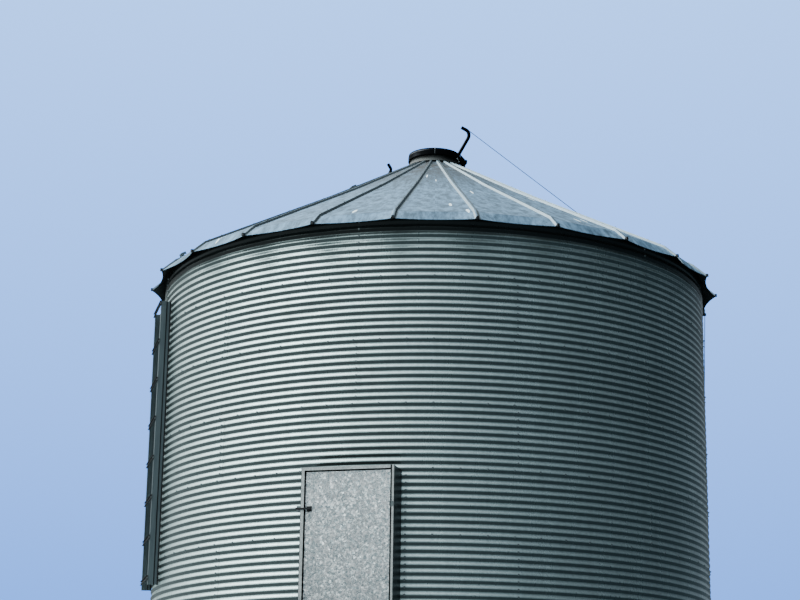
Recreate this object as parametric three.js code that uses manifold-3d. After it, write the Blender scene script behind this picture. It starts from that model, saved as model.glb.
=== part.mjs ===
// A farm grain silo of corrugated galvanised steel: a round wall, a ribbed cone roof with a hinged
// lid at its peak, a walk-in door in a box frame, a wall ladder and the lid's pull wire.
// Millimetres, +Z up. The origin is on the bin's axis, on the underside of its floor.
// Azimuths are in degrees, 0 towards -Y where the door side faces, rising towards +X.

import * as THREE from 'three';
import { mergeVertices } from 'three/addons/utils/BufferGeometryUtils.js';
import Module from 'manifold-3d';

const wasm = await Module();
wasm.setup();

// General clearances
const GAP = 0.3;
const DEGREE = Math.PI / 180;

// Wall: seven rings of corrugated sheet, nine corrugations of two and two thirds inches each
const CREST_RADIUS = 2909;
const CORRUGATION_DEPTH = 12.7;
const CORRUGATION_PITCH = 67.733;
const CORRUGATIONS_PER_RING = 9;
const DOOR_RINGS = 3;
const FACET_DEGREES = 2.5;
const SEGMENT_DEGREES = 30;
const FIRST_SEAM = 15;

// Roof: twenty-four gores between raised ribs, two gores in each section
const GORE_COUNT = 24;
const GORES_PER_SECTION = 2;
const ROOF_TOP_RADIUS = 280;
const RIB_TOP_RADIUS = 298;
const EAVE_BEND_RADIUS = 2911;
const EAVE_BEND_HEIGHT = 4299;
const ROOF_KNEE_RADIUS = 1400;
const SLOPE_BELOW_KNEE = 0.5305;
const SLOPE_ABOVE_KNEE = 0.5567;
const RIB_TIP_RADIUS = 3045;
const RIB_TIP_HEIGHT = 4195;
const SCALLOP_RADIUS = 2978;
const SCALLOP_HEIGHT = 4211.5;
const RIB_HALF_BASE = 26;
const RIB_HALF_TOP = 14;
const RIB_HEIGHT_AT_BEND = 30;
const RIB_HEIGHT_AT_PEAK = 20;
const RIB_HEIGHT_AT_TIP = 24;
const ROOF_SHEET = 4;
const GORE_STEPS = 5;

// Floor
const FLOOR_THICKNESS = 5;

// Peak collar and lid
const NECK_INNER = 262;
const NECK_OUTER = 268;
const NECK_BOTTOM = 5700;
const NECK_TOP = 5884;
const FLASHING_RADIUS = 306;
const FLASHING_SLOPE = 1.75;
const FLASHING_THICKNESS = 6;
const LATHE_SIDES = 48;
const LID_RADIUS = 287;
const LID_WALL = 6;
const LID_RIM_BOTTOM = 5805;
const LID_RIM_TOP = 5890;
const LID_CROWN = 14;
const LID_PIVOT_X = 350;
const LID_PIVOT_Z = 5835;
const LID_PIN_RADIUS = 6;
const LID_PIN_CLEARANCE = 0.5;
const LID_KNUCKLE_RADIUS = 12;
const LID_KNUCKLE_HALF = 20;
const EAR_INNER = 26;
const EAR_THICKNESS = 6;
const LEVER_RADIUS = 12;
const HOOK_RADIUS = 10;

// Door in its own frame: x along the door, distances outward from the bin's axis
const DOOR_AZIMUTH = -14.2;
const DOOR_FRONT = 3138;
const DOOR_BACK = 2860;
const FRAME_HALF_WIDTH = 435;
const FRAME_BAR = 28;
const FRAME_BAR_DEPTH = 40;
const CASING_SHEET = 3;
const SILL_HEIGHT = 60;
const LEAF_HALF_WIDTH = 397;
const LEAF_THICKNESS = 35;
const LEAF_RECESS = 20;
const LEAF_GAP = 12;
const HINGE_X = 402;
const HINGE_OUT = 3145;
const HINGE_HEIGHTS = [330, 1500];
const BARREL_RADIUS = 5;
const BARREL_LENGTH = 45;
const HINGE_PIN_RADIUS = 2.2;
const HINGE_PIN_CLEARANCE = 0.4;
const HANDLE_HEIGHT = 1451;

// Ladder in its own frame, at the left of the door side
const LADDER_AZIMUTH = -75.33;
const LADDER_HALF_WIDTH = 285;
const LADDER_FACE = 2995;
const RUNG_LIP_OUT = 3011;
const RAIL_SHEET = 3;
const RAIL_FLANGE = 40;
const RUNG_COUNT = 8;
const RUNG_PITCH = 406.4;
const LOWEST_RUNG = 1045;
const RUNG_HEIGHT = 40;
const RUNG_HALF_LENGTH = 292;
const RAIL_BOTTOM = 975;
const RAIL_TOP = 3908;

// Pull wire of the lid
const WIRE_RADIUS = 3;
const WIRE_AZIMUTH = 97.5;
const EYE_RADIUS = 3047;
const EYE_HEIGHT = 4262;
const EYE_HOLE_HEIGHT = 4269;
const EYE_HOLE = 8;
const CLEAT_HEIGHT = 800;
const CLEAT_OUT = 2938;

// Sizes that follow from the ones above
const RING_HEIGHT = CORRUGATION_PITCH * CORRUGATIONS_PER_RING;
const DOORWAY_TOP = RING_HEIGHT * DOOR_RINGS;
const WALL_INNER = CREST_RADIUS - CORRUGATION_DEPTH;
const HALF_GORE = 180 / GORE_COUNT;
const GORE_COS = Math.cos(HALF_GORE * DEGREE);
const GORE_SIN = Math.sin(HALF_GORE * DEGREE);

const galvanised = new THREE.MeshStandardMaterial({ color: 0x9aa3a6, roughness: 0.45, metalness: 0.8 });
const roofSteel = new THREE.MeshStandardMaterial({ color: 0xa9b4ba, roughness: 0.5, metalness: 0.7 });
const doorSteel = new THREE.MeshStandardMaterial({ color: 0x9ba5a8, roughness: 0.55, metalness: 0.6 });
const frameSteel = new THREE.MeshStandardMaterial({ color: 0xb4bbbd, roughness: 0.5, metalness: 0.7 });
const ladderSteel = new THREE.MeshStandardMaterial({ color: 0x6f7a80, roughness: 0.5, metalness: 0.7 });
const blackSteel = new THREE.MeshStandardMaterial({ color: 0x1b1d22, roughness: 0.6, metalness: 0.3 });
const wireSteel = new THREE.MeshStandardMaterial({ color: 0x8b9095, roughness: 0.4, metalness: 0.9 });
const floorSteel = new THREE.MeshStandardMaterial({ color: 0x80868a, roughness: 0.6, metalness: 0.7 });

const silo = new THREE.Group();

function add(name, geometry, material, azimuth = 0) {
  const mesh = new THREE.Mesh(geometry, material);
  mesh.name = name;
  mesh.rotation.z = azimuth * DEGREE;
  silo.add(mesh);
}

// Shapes

function box(x0, x1, y0, y1, z0, z1) {
  const geometry = new THREE.BoxGeometry(x1 - x0, y1 - y0, z1 - z0);
  geometry.translate((x0 + x1) / 2, (y0 + y1) / 2, (z0 + z1) / 2);
  return geometry;
}

// A box in a frame whose outward direction is -Y: x along, out away from the bin's axis
function boxOut(x0, x1, out0, out1, z0, z1) {
  return box(x0, x1, -out1, -out0, z0, z1);
}

function prism(points, z0, z1) {
  const shape = new THREE.Shape(points.map(([x, y]) => new THREE.Vector2(x, y)));
  const geometry = new THREE.ExtrudeGeometry(shape, { depth: z1 - z0, bevelEnabled: false });
  geometry.translate(0, 0, z0);
  return geometry;
}

// A prism whose outline is seen along X: points are [out, z], and it runs from x0 to x1
function profileAlongX(points, x0, x1) {
  const geometry = prism(points.map(([out, z]) => [-out, z]), x0, x1);
  geometry.rotateX(90 * DEGREE);
  geometry.rotateZ(90 * DEGREE);
  return geometry;
}

// A prism whose outline is seen along Y: points are [x, z], and it runs from y0 to y1
function profileAlongY(points, y0, y1) {
  const geometry = prism(points, -y1, -y0);
  geometry.rotateX(90 * DEGREE);
  return geometry;
}

function turned(profile, sides) {
  const points = profile.map(([r, z]) => new THREE.Vector2(r, z));
  const geometry = new THREE.LatheGeometry(points, sides);
  geometry.rotateX(90 * DEGREE);
  return geometry;
}

function rodAlongY(x, z, radius, y0, y1) {
  const geometry = new THREE.CylinderGeometry(radius, radius, y1 - y0, 16);
  geometry.translate(x, (y0 + y1) / 2, z);
  return geometry;
}

function rodAlongZ(x, out, radius, z0, z1) {
  const geometry = new THREE.CylinderGeometry(radius, radius, z1 - z0, 16);
  geometry.rotateX(90 * DEGREE);
  geometry.translate(x, -out, (z0 + z1) / 2);
  return geometry;
}

// A round bar from one point to another
function bar(from, to, radius, sides = 8) {
  const section = new THREE.Shape();
  for (let i = 0; i < sides; i += 1) {
    const turn = (i / sides) * 2 * Math.PI;
    const point = [radius * Math.cos(turn), radius * Math.sin(turn)];
    if (i === 0) section.moveTo(...point);
    else section.lineTo(...point);
  }
  const path = new THREE.LineCurve3(new THREE.Vector3(...from), new THREE.Vector3(...to));
  return new THREE.ExtrudeGeometry(section, { steps: 1, extrudePath: path });
}

function ball(centre, radius) {
  const geometry = new THREE.SphereGeometry(radius, 12, 8);
  geometry.translate(...centre);
  return geometry;
}

// Joining and cutting closed meshes

function toSolid(geometry) {
  const bare = geometry.index ? geometry.toNonIndexed() : geometry.clone();
  bare.deleteAttribute('normal');
  bare.deleteAttribute('uv');
  const merged = mergeVertices(bare, 1e-4);
  const mesh = new wasm.Mesh({
    numProp: 3,
    vertProperties: new Float32Array(merged.attributes.position.array),
    triVerts: new Uint32Array(merged.index.array),
  });
  return new wasm.Manifold(mesh);
}

function toGeometry(solid) {
  const mesh = solid.getMesh();
  const geometry = new THREE.BufferGeometry();
  geometry.setAttribute('position', new THREE.BufferAttribute(new Float32Array(mesh.vertProperties), 3));
  geometry.setIndex(new THREE.BufferAttribute(new Uint32Array(mesh.triVerts), 1));
  geometry.computeVertexNormals();
  return geometry;
}

function joined(...geometries) {
  let solid = toSolid(geometries[0]);
  for (const geometry of geometries.slice(1)) {
    solid = solid.add(toSolid(geometry));
  }
  return toGeometry(solid);
}

function cut(geometry, ...tools) {
  let solid = toSolid(geometry);
  for (const tool of tools) {
    solid = solid.subtract(toSolid(tool));
  }
  return toGeometry(solid);
}

// Wall: curved segments at their real height, as thick as the corrugations are deep

function arcPoints(radius, from, to) {
  const azimuths = [from];
  const first = Math.floor(from / FACET_DEGREES) + 1;
  for (let step = first; step * FACET_DEGREES < to; step += 1) {
    azimuths.push(step * FACET_DEGREES);
  }
  azimuths.push(to);
  return azimuths.map((a) => [radius * Math.sin(a * DEGREE), -radius * Math.cos(a * DEGREE)]);
}

function wallPiece(from, to, z0, z1) {
  const halfGap = (GAP / 2 / CREST_RADIUS) / DEGREE;
  const outer = arcPoints(CREST_RADIUS, from + halfGap, to - halfGap);
  const inner = arcPoints(WALL_INNER, from + halfGap, to - halfGap);
  return prism([...outer, ...inner.reverse()], z0, z1);
}

// The foot of a rib at a radius: the sheets sag a little, so the slope steepens above a knee
function ribFoot(radius) {
  const low = Math.max(radius, ROOF_KNEE_RADIUS);
  return EAVE_BEND_HEIGHT + (EAVE_BEND_RADIUS - low) * SLOPE_BELOW_KNEE + (low - radius) * SLOPE_ABOVE_KNEE;
}

// The height of a flat gore at a distance along its centre line
function goreHeight(along) {
  return ribFoot(along / GORE_COS);
}

// The doorway's cut edges stand clear of the frame's sides
const DOORWAY_HALF_ANGLE = Math.asin((FRAME_HALF_WIDTH + GAP) / WALL_INNER) / DEGREE;
const DOORWAY_LEFT = DOOR_AZIMUTH - DOORWAY_HALF_ANGLE;
const DOORWAY_RIGHT = DOOR_AZIMUTH + DOORWAY_HALF_ANGLE;
const WALL_TOP = goreHeight(CREST_RADIUS) - ROOF_SHEET - GAP;

function buildWall() {
  const seams = [DOORWAY_RIGHT];
  const lastSeam = 360 - FIRST_SEAM - SEGMENT_DEGREES;
  for (let seam = FIRST_SEAM; seam <= lastSeam; seam += SEGMENT_DEGREES) {
    seams.push(seam);
  }
  seams.push(360 + DOORWAY_LEFT);
  for (let i = 0; i + 1 < seams.length; i += 1) {
    const name = `wall_segment_${String(i + 1).padStart(2, '0')}`;
    add(name, wallPiece(seams[i], seams[i + 1], 0, WALL_TOP), galvanised);
  }
  add('wall_over_door', wallPiece(DOORWAY_LEFT, DOORWAY_RIGHT, DOORWAY_TOP + GAP, WALL_TOP), galvanised);
}

// Floor: one flat plate inside the wall's foot
function buildFloor() {
  const rim = arcPoints(WALL_INNER - GAP, 0, 360 - FACET_DEGREES);
  add('bin_floor', prism(rim, 0, FLOOR_THICKNESS), floorSteel);
}

// Roof

const ROW_RADII = [ROOF_TOP_RADIUS, RIB_TOP_RADIUS, ROOF_KNEE_RADIUS];

function ribHeight(radius) {
  if (radius <= ROOF_TOP_RADIUS) return 0;
  if (radius <= RIB_TOP_RADIUS) return RIB_HEIGHT_AT_PEAK;
  const share = (radius - RIB_TOP_RADIUS) / (EAVE_BEND_RADIUS - RIB_TOP_RADIUS);
  return RIB_HEIGHT_AT_PEAK + share * (RIB_HEIGHT_AT_BEND - RIB_HEIGHT_AT_PEAK);
}

// The height of a rib's top edge above the ground, between the peak and the eave bend
function ribTop(radius) {
  return ribFoot(radius) + ribHeight(radius);
}

// The columns across one gore. A rib's columns are set by their inset from its centre line, and
// the columns between two ribs by their share of the flat part's half width.
function goreColumns() {
  const insets = [GAP / 2, RIB_HALF_TOP, RIB_HALF_BASE];
  const columns = insets.map((inset) => ({ side: -1, inset }));
  for (let i = 1; i <= GORE_STEPS; i += 1) {
    columns.push({ share: (2 * i) / (GORE_STEPS + 1) - 1 });
  }
  columns.push(...insets.reverse().map((inset) => ({ side: 1, inset })));
  return columns;
}

// A point beside a rib, in the gore's own frame, and how far the flat part reaches there
function besideRib(radius, inset) {
  return [radius * GORE_SIN - inset * GORE_COS, radius * GORE_COS + inset * GORE_SIN];
}

// A rib's column from the peak to the eave: [across, along, panel height, height above the panel]
function ribColumn({ side, inset }) {
  const rise = inset < RIB_HALF_BASE ? 1 : 0;
  const rows = [...ROW_RADII, EAVE_BEND_RADIUS].map((radius) => {
    const [x, along] = besideRib(radius, inset);
    const z = rise ? ribFoot(radius) : goreHeight(along);
    return [side * x, along, z, rise * ribHeight(radius)];
  });
  const [x, along] = besideRib(RIB_TIP_RADIUS, inset);
  rows.push([side * x, along, RIB_TIP_HEIGHT, rise * RIB_HEIGHT_AT_TIP]);
  return rows;
}

// A column of the flat part: level rows at the peak, the bend over the round wall, the scalloped edge
function flatColumn({ share }) {
  const rows = ROW_RADII.map((radius) => {
    const [reach, along] = besideRib(radius, RIB_HALF_BASE);
    return [share * reach, along, goreHeight(along), 0];
  });
  const bend = share * besideRib(EAVE_BEND_RADIUS, RIB_HALF_BASE)[0];
  const bendAlong = Math.sqrt(EAVE_BEND_RADIUS ** 2 - bend ** 2);
  rows.push([bend, bendAlong, goreHeight(bendAlong), 0]);
  const [reach, tipAlong] = besideRib(RIB_TIP_RADIUS, RIB_HALF_BASE);
  const along = SCALLOP_RADIUS + share ** 2 * (tipAlong - SCALLOP_RADIUS);
  const z = SCALLOP_HEIGHT + share ** 2 * (RIB_TIP_HEIGHT - SCALLOP_HEIGHT);
  rows.push([share * reach, along, z, 0]);
  return rows;
}

function columnPoints(column) {
  return column.side ? ribColumn(column) : flatColumn(column);
}

function quad(triangles, a, b, c, d) {
  triangles.push(a, b, c, a, c, d);
}

// A closed sheet between an upper and a lower grid of the same size
function sheetSolid(upper, lower) {
  const rows = upper.length;
  const columns = upper[0].length;
  const positions = [...upper.flat(), ...lower.flat()].flat();
  const up = (i, j) => i * columns + j;
  const down = (i, j) => rows * columns + up(i, j);
  const triangles = [];
  for (let i = 0; i + 1 < rows; i += 1) {
    for (let j = 0; j + 1 < columns; j += 1) {
      quad(triangles, up(i, j), up(i + 1, j), up(i + 1, j + 1), up(i, j + 1));
      quad(triangles, down(i, j), down(i, j + 1), down(i + 1, j + 1), down(i + 1, j));
    }
    quad(triangles, up(i, 0), down(i, 0), down(i + 1, 0), up(i + 1, 0));
    const last = columns - 1;
    quad(triangles, up(i, last), up(i + 1, last), down(i + 1, last), down(i, last));
  }
  for (let j = 0; j + 1 < columns; j += 1) {
    quad(triangles, up(0, j), up(0, j + 1), down(0, j + 1), down(0, j));
    quad(triangles, up(rows - 1, j), down(rows - 1, j), down(rows - 1, j + 1), up(rows - 1, j + 1));
  }
  const geometry = new THREE.BufferGeometry();
  geometry.setAttribute('position', new THREE.Float32BufferAttribute(positions, 3));
  geometry.setIndex(triangles);
  geometry.computeVertexNormals();
  return geometry;
}

function roofSection(firstGore) {
  const columns = [];
  for (let gore = 0; gore < GORES_PER_SECTION; gore += 1) {
    const centre = (firstGore + gore) * 2 * HALF_GORE * DEGREE;
    const list = goreColumns();
    for (const [index, column] of list.entries()) {
      const repeated = gore > 0 && index === 0;
      const unfinished = gore < GORES_PER_SECTION - 1 && index === list.length - 1;
      if (repeated || unfinished) continue;
      const points = columnPoints(column).map(([x, along, z, rise]) => [
        along * Math.sin(centre) + x * Math.cos(centre),
        -along * Math.cos(centre) + x * Math.sin(centre),
        z,
        rise,
      ]);
      columns.push(points);
    }
  }
  const rows = columns[0].length;
  const upper = [];
  const lower = [];
  for (let i = 0; i < rows; i += 1) {
    upper.push(columns.map((column) => [column[i][0], column[i][1], column[i][2] + column[i][3]]));
    lower.push(columns.map((column) => [column[i][0], column[i][1], column[i][2] - ROOF_SHEET]));
  }
  return sheetSolid(upper, lower);
}

function buildRoof() {
  for (let i = 0; i < GORE_COUNT / GORES_PER_SECTION; i += 1) {
    const name = `roof_section_${String(i + 1).padStart(2, '0')}`;
    add(name, roofSection(i * GORES_PER_SECTION), roofSteel);
  }
}

// Peak: the collar is a steep cone that rests on the rib ends, and the lid caps its neck

const FLASHING_EDGE = ribTop(FLASHING_RADIUS) + 3 * GAP;

// The top of the collar's cone at a radius
function flashingTop(radius) {
  return FLASHING_EDGE + FLASHING_THICKNESS + (FLASHING_RADIUS - radius) * FLASHING_SLOPE;
}

// The cone is rolled round the neck, which stands through it
function buildCollar() {
  const under = (radius) => flashingTop(radius) - FLASHING_THICKNESS;
  const inner = NECK_OUTER + GAP;
  const cone = [
    [inner, under(inner)],
    [FLASHING_RADIUS, under(FLASHING_RADIUS)],
    [FLASHING_RADIUS, flashingTop(FLASHING_RADIUS)],
    [inner, flashingTop(inner)],
    [inner, under(inner)],
  ];
  add('peak_collar', turned(cone, LATHE_SIDES), roofSteel);
  const neck = [
    [NECK_INNER, NECK_BOTTOM],
    [NECK_OUTER, NECK_BOTTOM],
    [NECK_OUTER, NECK_TOP],
    [NECK_INNER, NECK_TOP],
    [NECK_INNER, NECK_BOTTOM],
  ];
  add('peak_neck', turned(neck, LATHE_SIDES), roofSteel);
}

// The top of the lid's shallow cone at a radius
function lidTop(radius) {
  return LID_RIM_TOP + LID_CROWN * (1 - radius / LID_RADIUS);
}

function buildLid() {
  const inner = LID_RADIUS - LID_WALL;
  const profile = [
    [0, lidTop(0)],
    [inner, lidTop(inner)],
    [LID_RADIUS, LID_RIM_TOP - 3],
    [LID_RADIUS, LID_RIM_BOTTOM],
    [inner, LID_RIM_BOTTOM],
    [inner, NECK_TOP + GAP],
    [0, NECK_TOP + GAP + LID_CROWN - LID_WALL],
  ];
  const cap = turned(profile.reverse(), LATHE_SIDES);
  const half = LID_KNUCKLE_HALF;
  const gusset = [
    [inner + 2, LID_PIVOT_Z - 6],
    [LID_PIVOT_X - 4, LID_PIVOT_Z - 6],
    [LID_PIVOT_X + 6, LID_PIVOT_Z + 8],
    [LID_RADIUS + 2, LID_RIM_TOP + 8],
    [inner + 2, LID_RIM_TOP + 4],
  ];
  const lug = profileAlongY(gusset, -half, half);
  const knuckle = rodAlongY(LID_PIVOT_X, LID_PIVOT_Z, LID_KNUCKLE_RADIUS, -half, half);
  const bore = rodAlongY(
    LID_PIVOT_X,
    LID_PIVOT_Z,
    LID_PIN_RADIUS + LID_PIN_CLEARANCE,
    -half - 5,
    half + 5,
  );
  add('peak_lid', cut(joined(cap, lug, knuckle), bore), blackSteel);
}

// The bent bar on the lid that the wire pulls
const LEVER_POINTS = [[268, 0, 5898], [388, 0, 6140], [378, 0, 6201], [301, 0, 6245]];

function buildLever() {
  const near = 205;
  const far = 279;
  const seat = (x) => lidTop(x) + GAP;
  const outline = [[near, seat(near)], [far, seat(far)], [far, seat(far) + 6], [near, seat(near) + 6]];
  const foot = profileAlongY(outline, -25, 25);
  const pieces = [foot];
  for (let i = 0; i + 1 < LEVER_POINTS.length; i += 1) {
    pieces.push(bar(LEVER_POINTS[i], LEVER_POINTS[i + 1], LEVER_RADIUS, 10));
  }
  for (const point of LEVER_POINTS.slice(1, -1)) {
    pieces.push(ball(point, LEVER_RADIUS));
  }
  add('lid_lever', joined(...pieces), blackSteel);
}

// The bracket on the collar at the lid's right: a base, two ears and the pin between them
function buildLidHinge() {
  const near = 288;
  const far = 304;
  const earY = EAR_INNER + EAR_THICKNESS;
  const seat = (x) => flashingTop(x) + GAP;
  const baseOutline = [
    [near, seat(near)],
    [far, seat(far)],
    [far + 6, seat(far) + 2],
    [near + 6, seat(near) + 2],
  ];
  const base = profileAlongY(baseOutline, -earY, earY);
  const earOutline = [
    [near + 3, seat(near + 3) + 2],
    [far - 2, seat(far - 2) + 2],
    [LID_PIVOT_X - 18, LID_PIVOT_Z - 47],
    [LID_PIVOT_X + 17, LID_PIVOT_Z - 6],
    [LID_PIVOT_X + 17, LID_PIVOT_Z + 7],
    [LID_PIVOT_X + 8, LID_PIVOT_Z + 15],
    [LID_PIVOT_X - 8, LID_PIVOT_Z + 15],
    [LID_PIVOT_X - 20, LID_PIVOT_Z + 8],
    [LID_PIVOT_X - 58, LID_PIVOT_Z - 39],
  ];
  const ears = [profileAlongY(earOutline, EAR_INNER, earY), profileAlongY(earOutline, -earY, -EAR_INNER)];
  const pin = rodAlongY(LID_PIVOT_X, LID_PIVOT_Z, LID_PIN_RADIUS, -earY - 4, earY + 4);
  add('lid_hinge_bracket', joined(base, ...ears, pin), blackSteel);
}

// Door: a box frame that stands out from the round wall, and a flat leaf hung in it

const FRAME_TOP = DOORWAY_TOP;
const HEAD_BOTTOM = FRAME_TOP - FRAME_BAR;
const BAR_INNER = FRAME_HALF_WIDTH - FRAME_BAR;
const BAR_BACK = DOOR_FRONT - FRAME_BAR_DEPTH;
const LEAF_FRONT = DOOR_FRONT - LEAF_RECESS;
const LEAF_BACK = LEAF_FRONT - LEAF_THICKNESS;

function buildDoorFrame() {
  const casingInner = FRAME_HALF_WIDTH - CASING_SHEET;
  const jamb = [
    [BAR_INNER, -BAR_BACK],
    [BAR_INNER, -DOOR_FRONT],
    [FRAME_HALF_WIDTH, -DOOR_FRONT],
    [FRAME_HALF_WIDTH, -DOOR_BACK],
    [casingInner, -DOOR_BACK],
    [casingInner, -BAR_BACK],
  ];
  const mirrored = jamb.map(([x, y]) => [-x, y]);
  add('door_jamb_right', prism(jamb, SILL_HEIGHT + GAP, HEAD_BOTTOM - GAP), frameSteel, DOOR_AZIMUTH);
  add('door_jamb_left', prism(mirrored, SILL_HEIGHT + GAP, HEAD_BOTTOM - GAP), frameSteel, DOOR_AZIMUTH);
  const head = boxOut(-FRAME_HALF_WIDTH, FRAME_HALF_WIDTH, DOOR_BACK, DOOR_FRONT, HEAD_BOTTOM, FRAME_TOP);
  add('door_head', head, frameSteel, DOOR_AZIMUTH);
  const floorEdge = WALL_INNER + 1;
  const sill = [
    [DOOR_BACK, SILL_HEIGHT],
    [DOOR_FRONT, SILL_HEIGHT],
    [DOOR_FRONT, 0],
    [floorEdge, 0],
    [floorEdge, FLOOR_THICKNESS + GAP],
    [DOOR_BACK, FLOOR_THICKNESS + GAP],
  ];
  add('door_sill', profileAlongX(sill, -FRAME_HALF_WIDTH, FRAME_HALF_WIDTH), frameSteel, DOOR_AZIMUTH);
}

// The half of each hinge on the frame: a lower barrel with its pin, and a strap on the jamb
function buildDoorHinges() {
  const places = ['lower', 'upper'];
  for (const [index, height] of HINGE_HEIGHTS.entries()) {
    const bottom = height - BARREL_LENGTH;
    const barrel = rodAlongZ(HINGE_X, HINGE_OUT, BARREL_RADIUS, bottom, height - GAP);
    const pin = rodAlongZ(HINGE_X, HINGE_OUT, HINGE_PIN_RADIUS, bottom, height + BARREL_LENGTH);
    const seat = DOOR_FRONT + GAP;
    const strap = boxOut(HINGE_X, FRAME_HALF_WIDTH - 3, seat, HINGE_OUT - 3, bottom, height - GAP);
    add(`door_hinge_${places[index]}`, joined(barrel, pin, strap), frameSteel, DOOR_AZIMUTH);
  }
}

// The leaf carries the upper barrel of each hinge on a plate over its front face
function buildLeaf() {
  const bottom = SILL_HEIGHT + LEAF_GAP;
  const top = HEAD_BOTTOM - LEAF_GAP;
  const panel = boxOut(-LEAF_HALF_WIDTH, LEAF_HALF_WIDTH, LEAF_BACK, LEAF_FRONT, bottom, top);
  const pieces = [panel];
  const bores = [];
  for (const height of HINGE_HEIGHTS) {
    const upper = height + BARREL_LENGTH;
    pieces.push(rodAlongZ(HINGE_X, HINGE_OUT, BARREL_RADIUS, height + GAP, upper));
    pieces.push(boxOut(HINGE_X - 45, HINGE_X - 7, LEAF_FRONT - 1, LEAF_FRONT + 3, height + GAP, upper));
    pieces.push(boxOut(HINGE_X - 10, HINGE_X - 7, LEAF_FRONT - 1, HINGE_OUT + 3, height + GAP, upper));
    pieces.push(boxOut(HINGE_X - 8, HINGE_X - 3, HINGE_OUT, HINGE_OUT + 3, height + GAP, upper));
    const boreRadius = HINGE_PIN_RADIUS + HINGE_PIN_CLEARANCE;
    bores.push(rodAlongZ(HINGE_X, HINGE_OUT, boreRadius, height - BARREL_LENGTH, upper + BARREL_LENGTH));
  }
  add('door_leaf', cut(joined(...pieces), ...bores), doorSteel, DOOR_AZIMUTH);
}

// The handle reaches from the leaf over the frame, above a catch plate on the jamb
function buildHandle() {
  const base = boxOut(-385, -335, LEAF_FRONT + GAP, LEAF_FRONT + 5, HANDLE_HEIGHT - 25, HANDLE_HEIGHT + 25);
  const post = boxOut(-368, -352, LEAF_FRONT + 2, DOOR_FRONT + 20, HANDLE_HEIGHT - 8, HANDLE_HEIGHT + 8);
  const arm = boxOut(-478, -340, DOOR_FRONT + 6, DOOR_FRONT + 20, HANDLE_HEIGHT - 8, HANDLE_HEIGHT + 8);
  add('door_handle', joined(base, post, arm), blackSteel, DOOR_AZIMUTH);
  const side = -FRAME_HALF_WIDTH - GAP;
  const low = HANDLE_HEIGHT - 30;
  const high = HANDLE_HEIGHT + 30;
  const plate = boxOut(side - 4, side, DOOR_FRONT - 50, DOOR_FRONT - 4, low, high);
  const lip = boxOut(side - 40, side, DOOR_FRONT - 8, DOOR_FRONT - 4, low, high);
  add('door_catch', joined(plate, lip), frameSteel, DOOR_AZIMUTH);
}

// Ladder: two deep channel rails on the corrugations, joined by channel rungs
function buildLadder() {
  const wallOut = Math.sqrt(CREST_RADIUS ** 2 - LADDER_HALF_WIDTH ** 2) + GAP;
  const web = LADDER_HALF_WIDTH - RAIL_SHEET;
  const flangeInner = LADDER_HALF_WIDTH - RAIL_FLANGE;
  const rail = [
    [LADDER_HALF_WIDTH, -wallOut],
    [LADDER_HALF_WIDTH, -LADDER_FACE],
    [flangeInner, -LADDER_FACE],
    [flangeInner, -LADDER_FACE + RAIL_SHEET],
    [web, -LADDER_FACE + RAIL_SHEET],
    [web, -wallOut],
  ];
  const mirrored = rail.map(([x, y]) => [-x, y]);
  const pieces = [prism(rail, RAIL_BOTTOM, RAIL_TOP), prism(mirrored, RAIL_BOTTOM, RAIL_TOP)];
  for (let i = 0; i < RUNG_COUNT; i += 1) {
    const middle = LOWEST_RUNG + i * RUNG_PITCH;
    const low = middle - RUNG_HEIGHT / 2;
    const high = middle + RUNG_HEIGHT / 2;
    const rung = [
      [LADDER_FACE - 1, low],
      [RUNG_LIP_OUT, low],
      [RUNG_LIP_OUT, low + RAIL_SHEET],
      [LADDER_FACE + 2, low + RAIL_SHEET],
      [LADDER_FACE + 2, high - RAIL_SHEET],
      [RUNG_LIP_OUT, high - RAIL_SHEET],
      [RUNG_LIP_OUT, high],
      [LADDER_FACE - 1, high],
    ];
    pieces.push(profileAlongX(rung, -RUNG_HALF_LENGTH, RUNG_HALF_LENGTH));
  }
  add('wall_ladder', joined(...pieces), ladderSteel, LADDER_AZIMUTH);
}

// Small fittings on the ribs: each is drawn on a level base at the origin and then laid on its rib
function addOnRib(name, geometry, material, azimuth, radius) {
  const tilt = Math.atan(ribTop(radius - 0.5) - ribTop(radius + 0.5));
  geometry.rotateX(tilt);
  geometry.translate(0, -radius, ribTop(radius) + GAP / Math.cos(tilt));
  add(name, geometry, material, azimuth);
}

// A foot, an upright, and a tread with its two sides folded down
function stepBracket() {
  const foot = box(-13, 13, -50, 20, 0, 4);
  const upright = box(-13, 13, -28, -24, 3, 40);
  const tread = box(-40, 40, -28, 24, 36, 40);
  const sides = [box(-40, -37, -28, 24, 14, 37), box(37, 40, -28, 24, 14, 37)];
  return joined(foot, upright, tread, ...sides);
}

function buildRoofFittings() {
  addOnRib('roof_step_low', stepBracket(), ladderSteel, -67.5, 2820);
  addOnRib('roof_step_high', stepBracket(), ladderSteel, -67.5, 945);
  const base = box(-13, 13, -22, 22, 0, 5);
  const elbow = [0, 33, 42];
  const stem = bar([0, 4, 9], elbow, HOOK_RADIUS);
  const tip = bar(elbow, [0, 31, 112], HOOK_RADIUS);
  addOnRib('grab_hook', joined(base, stem, tip, ball(elbow, HOOK_RADIUS)), blackSteel, -67.5, 525);
}

// Pull wire: from the lever over the roof, through the eye on a rib's end and down to the cleat

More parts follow.
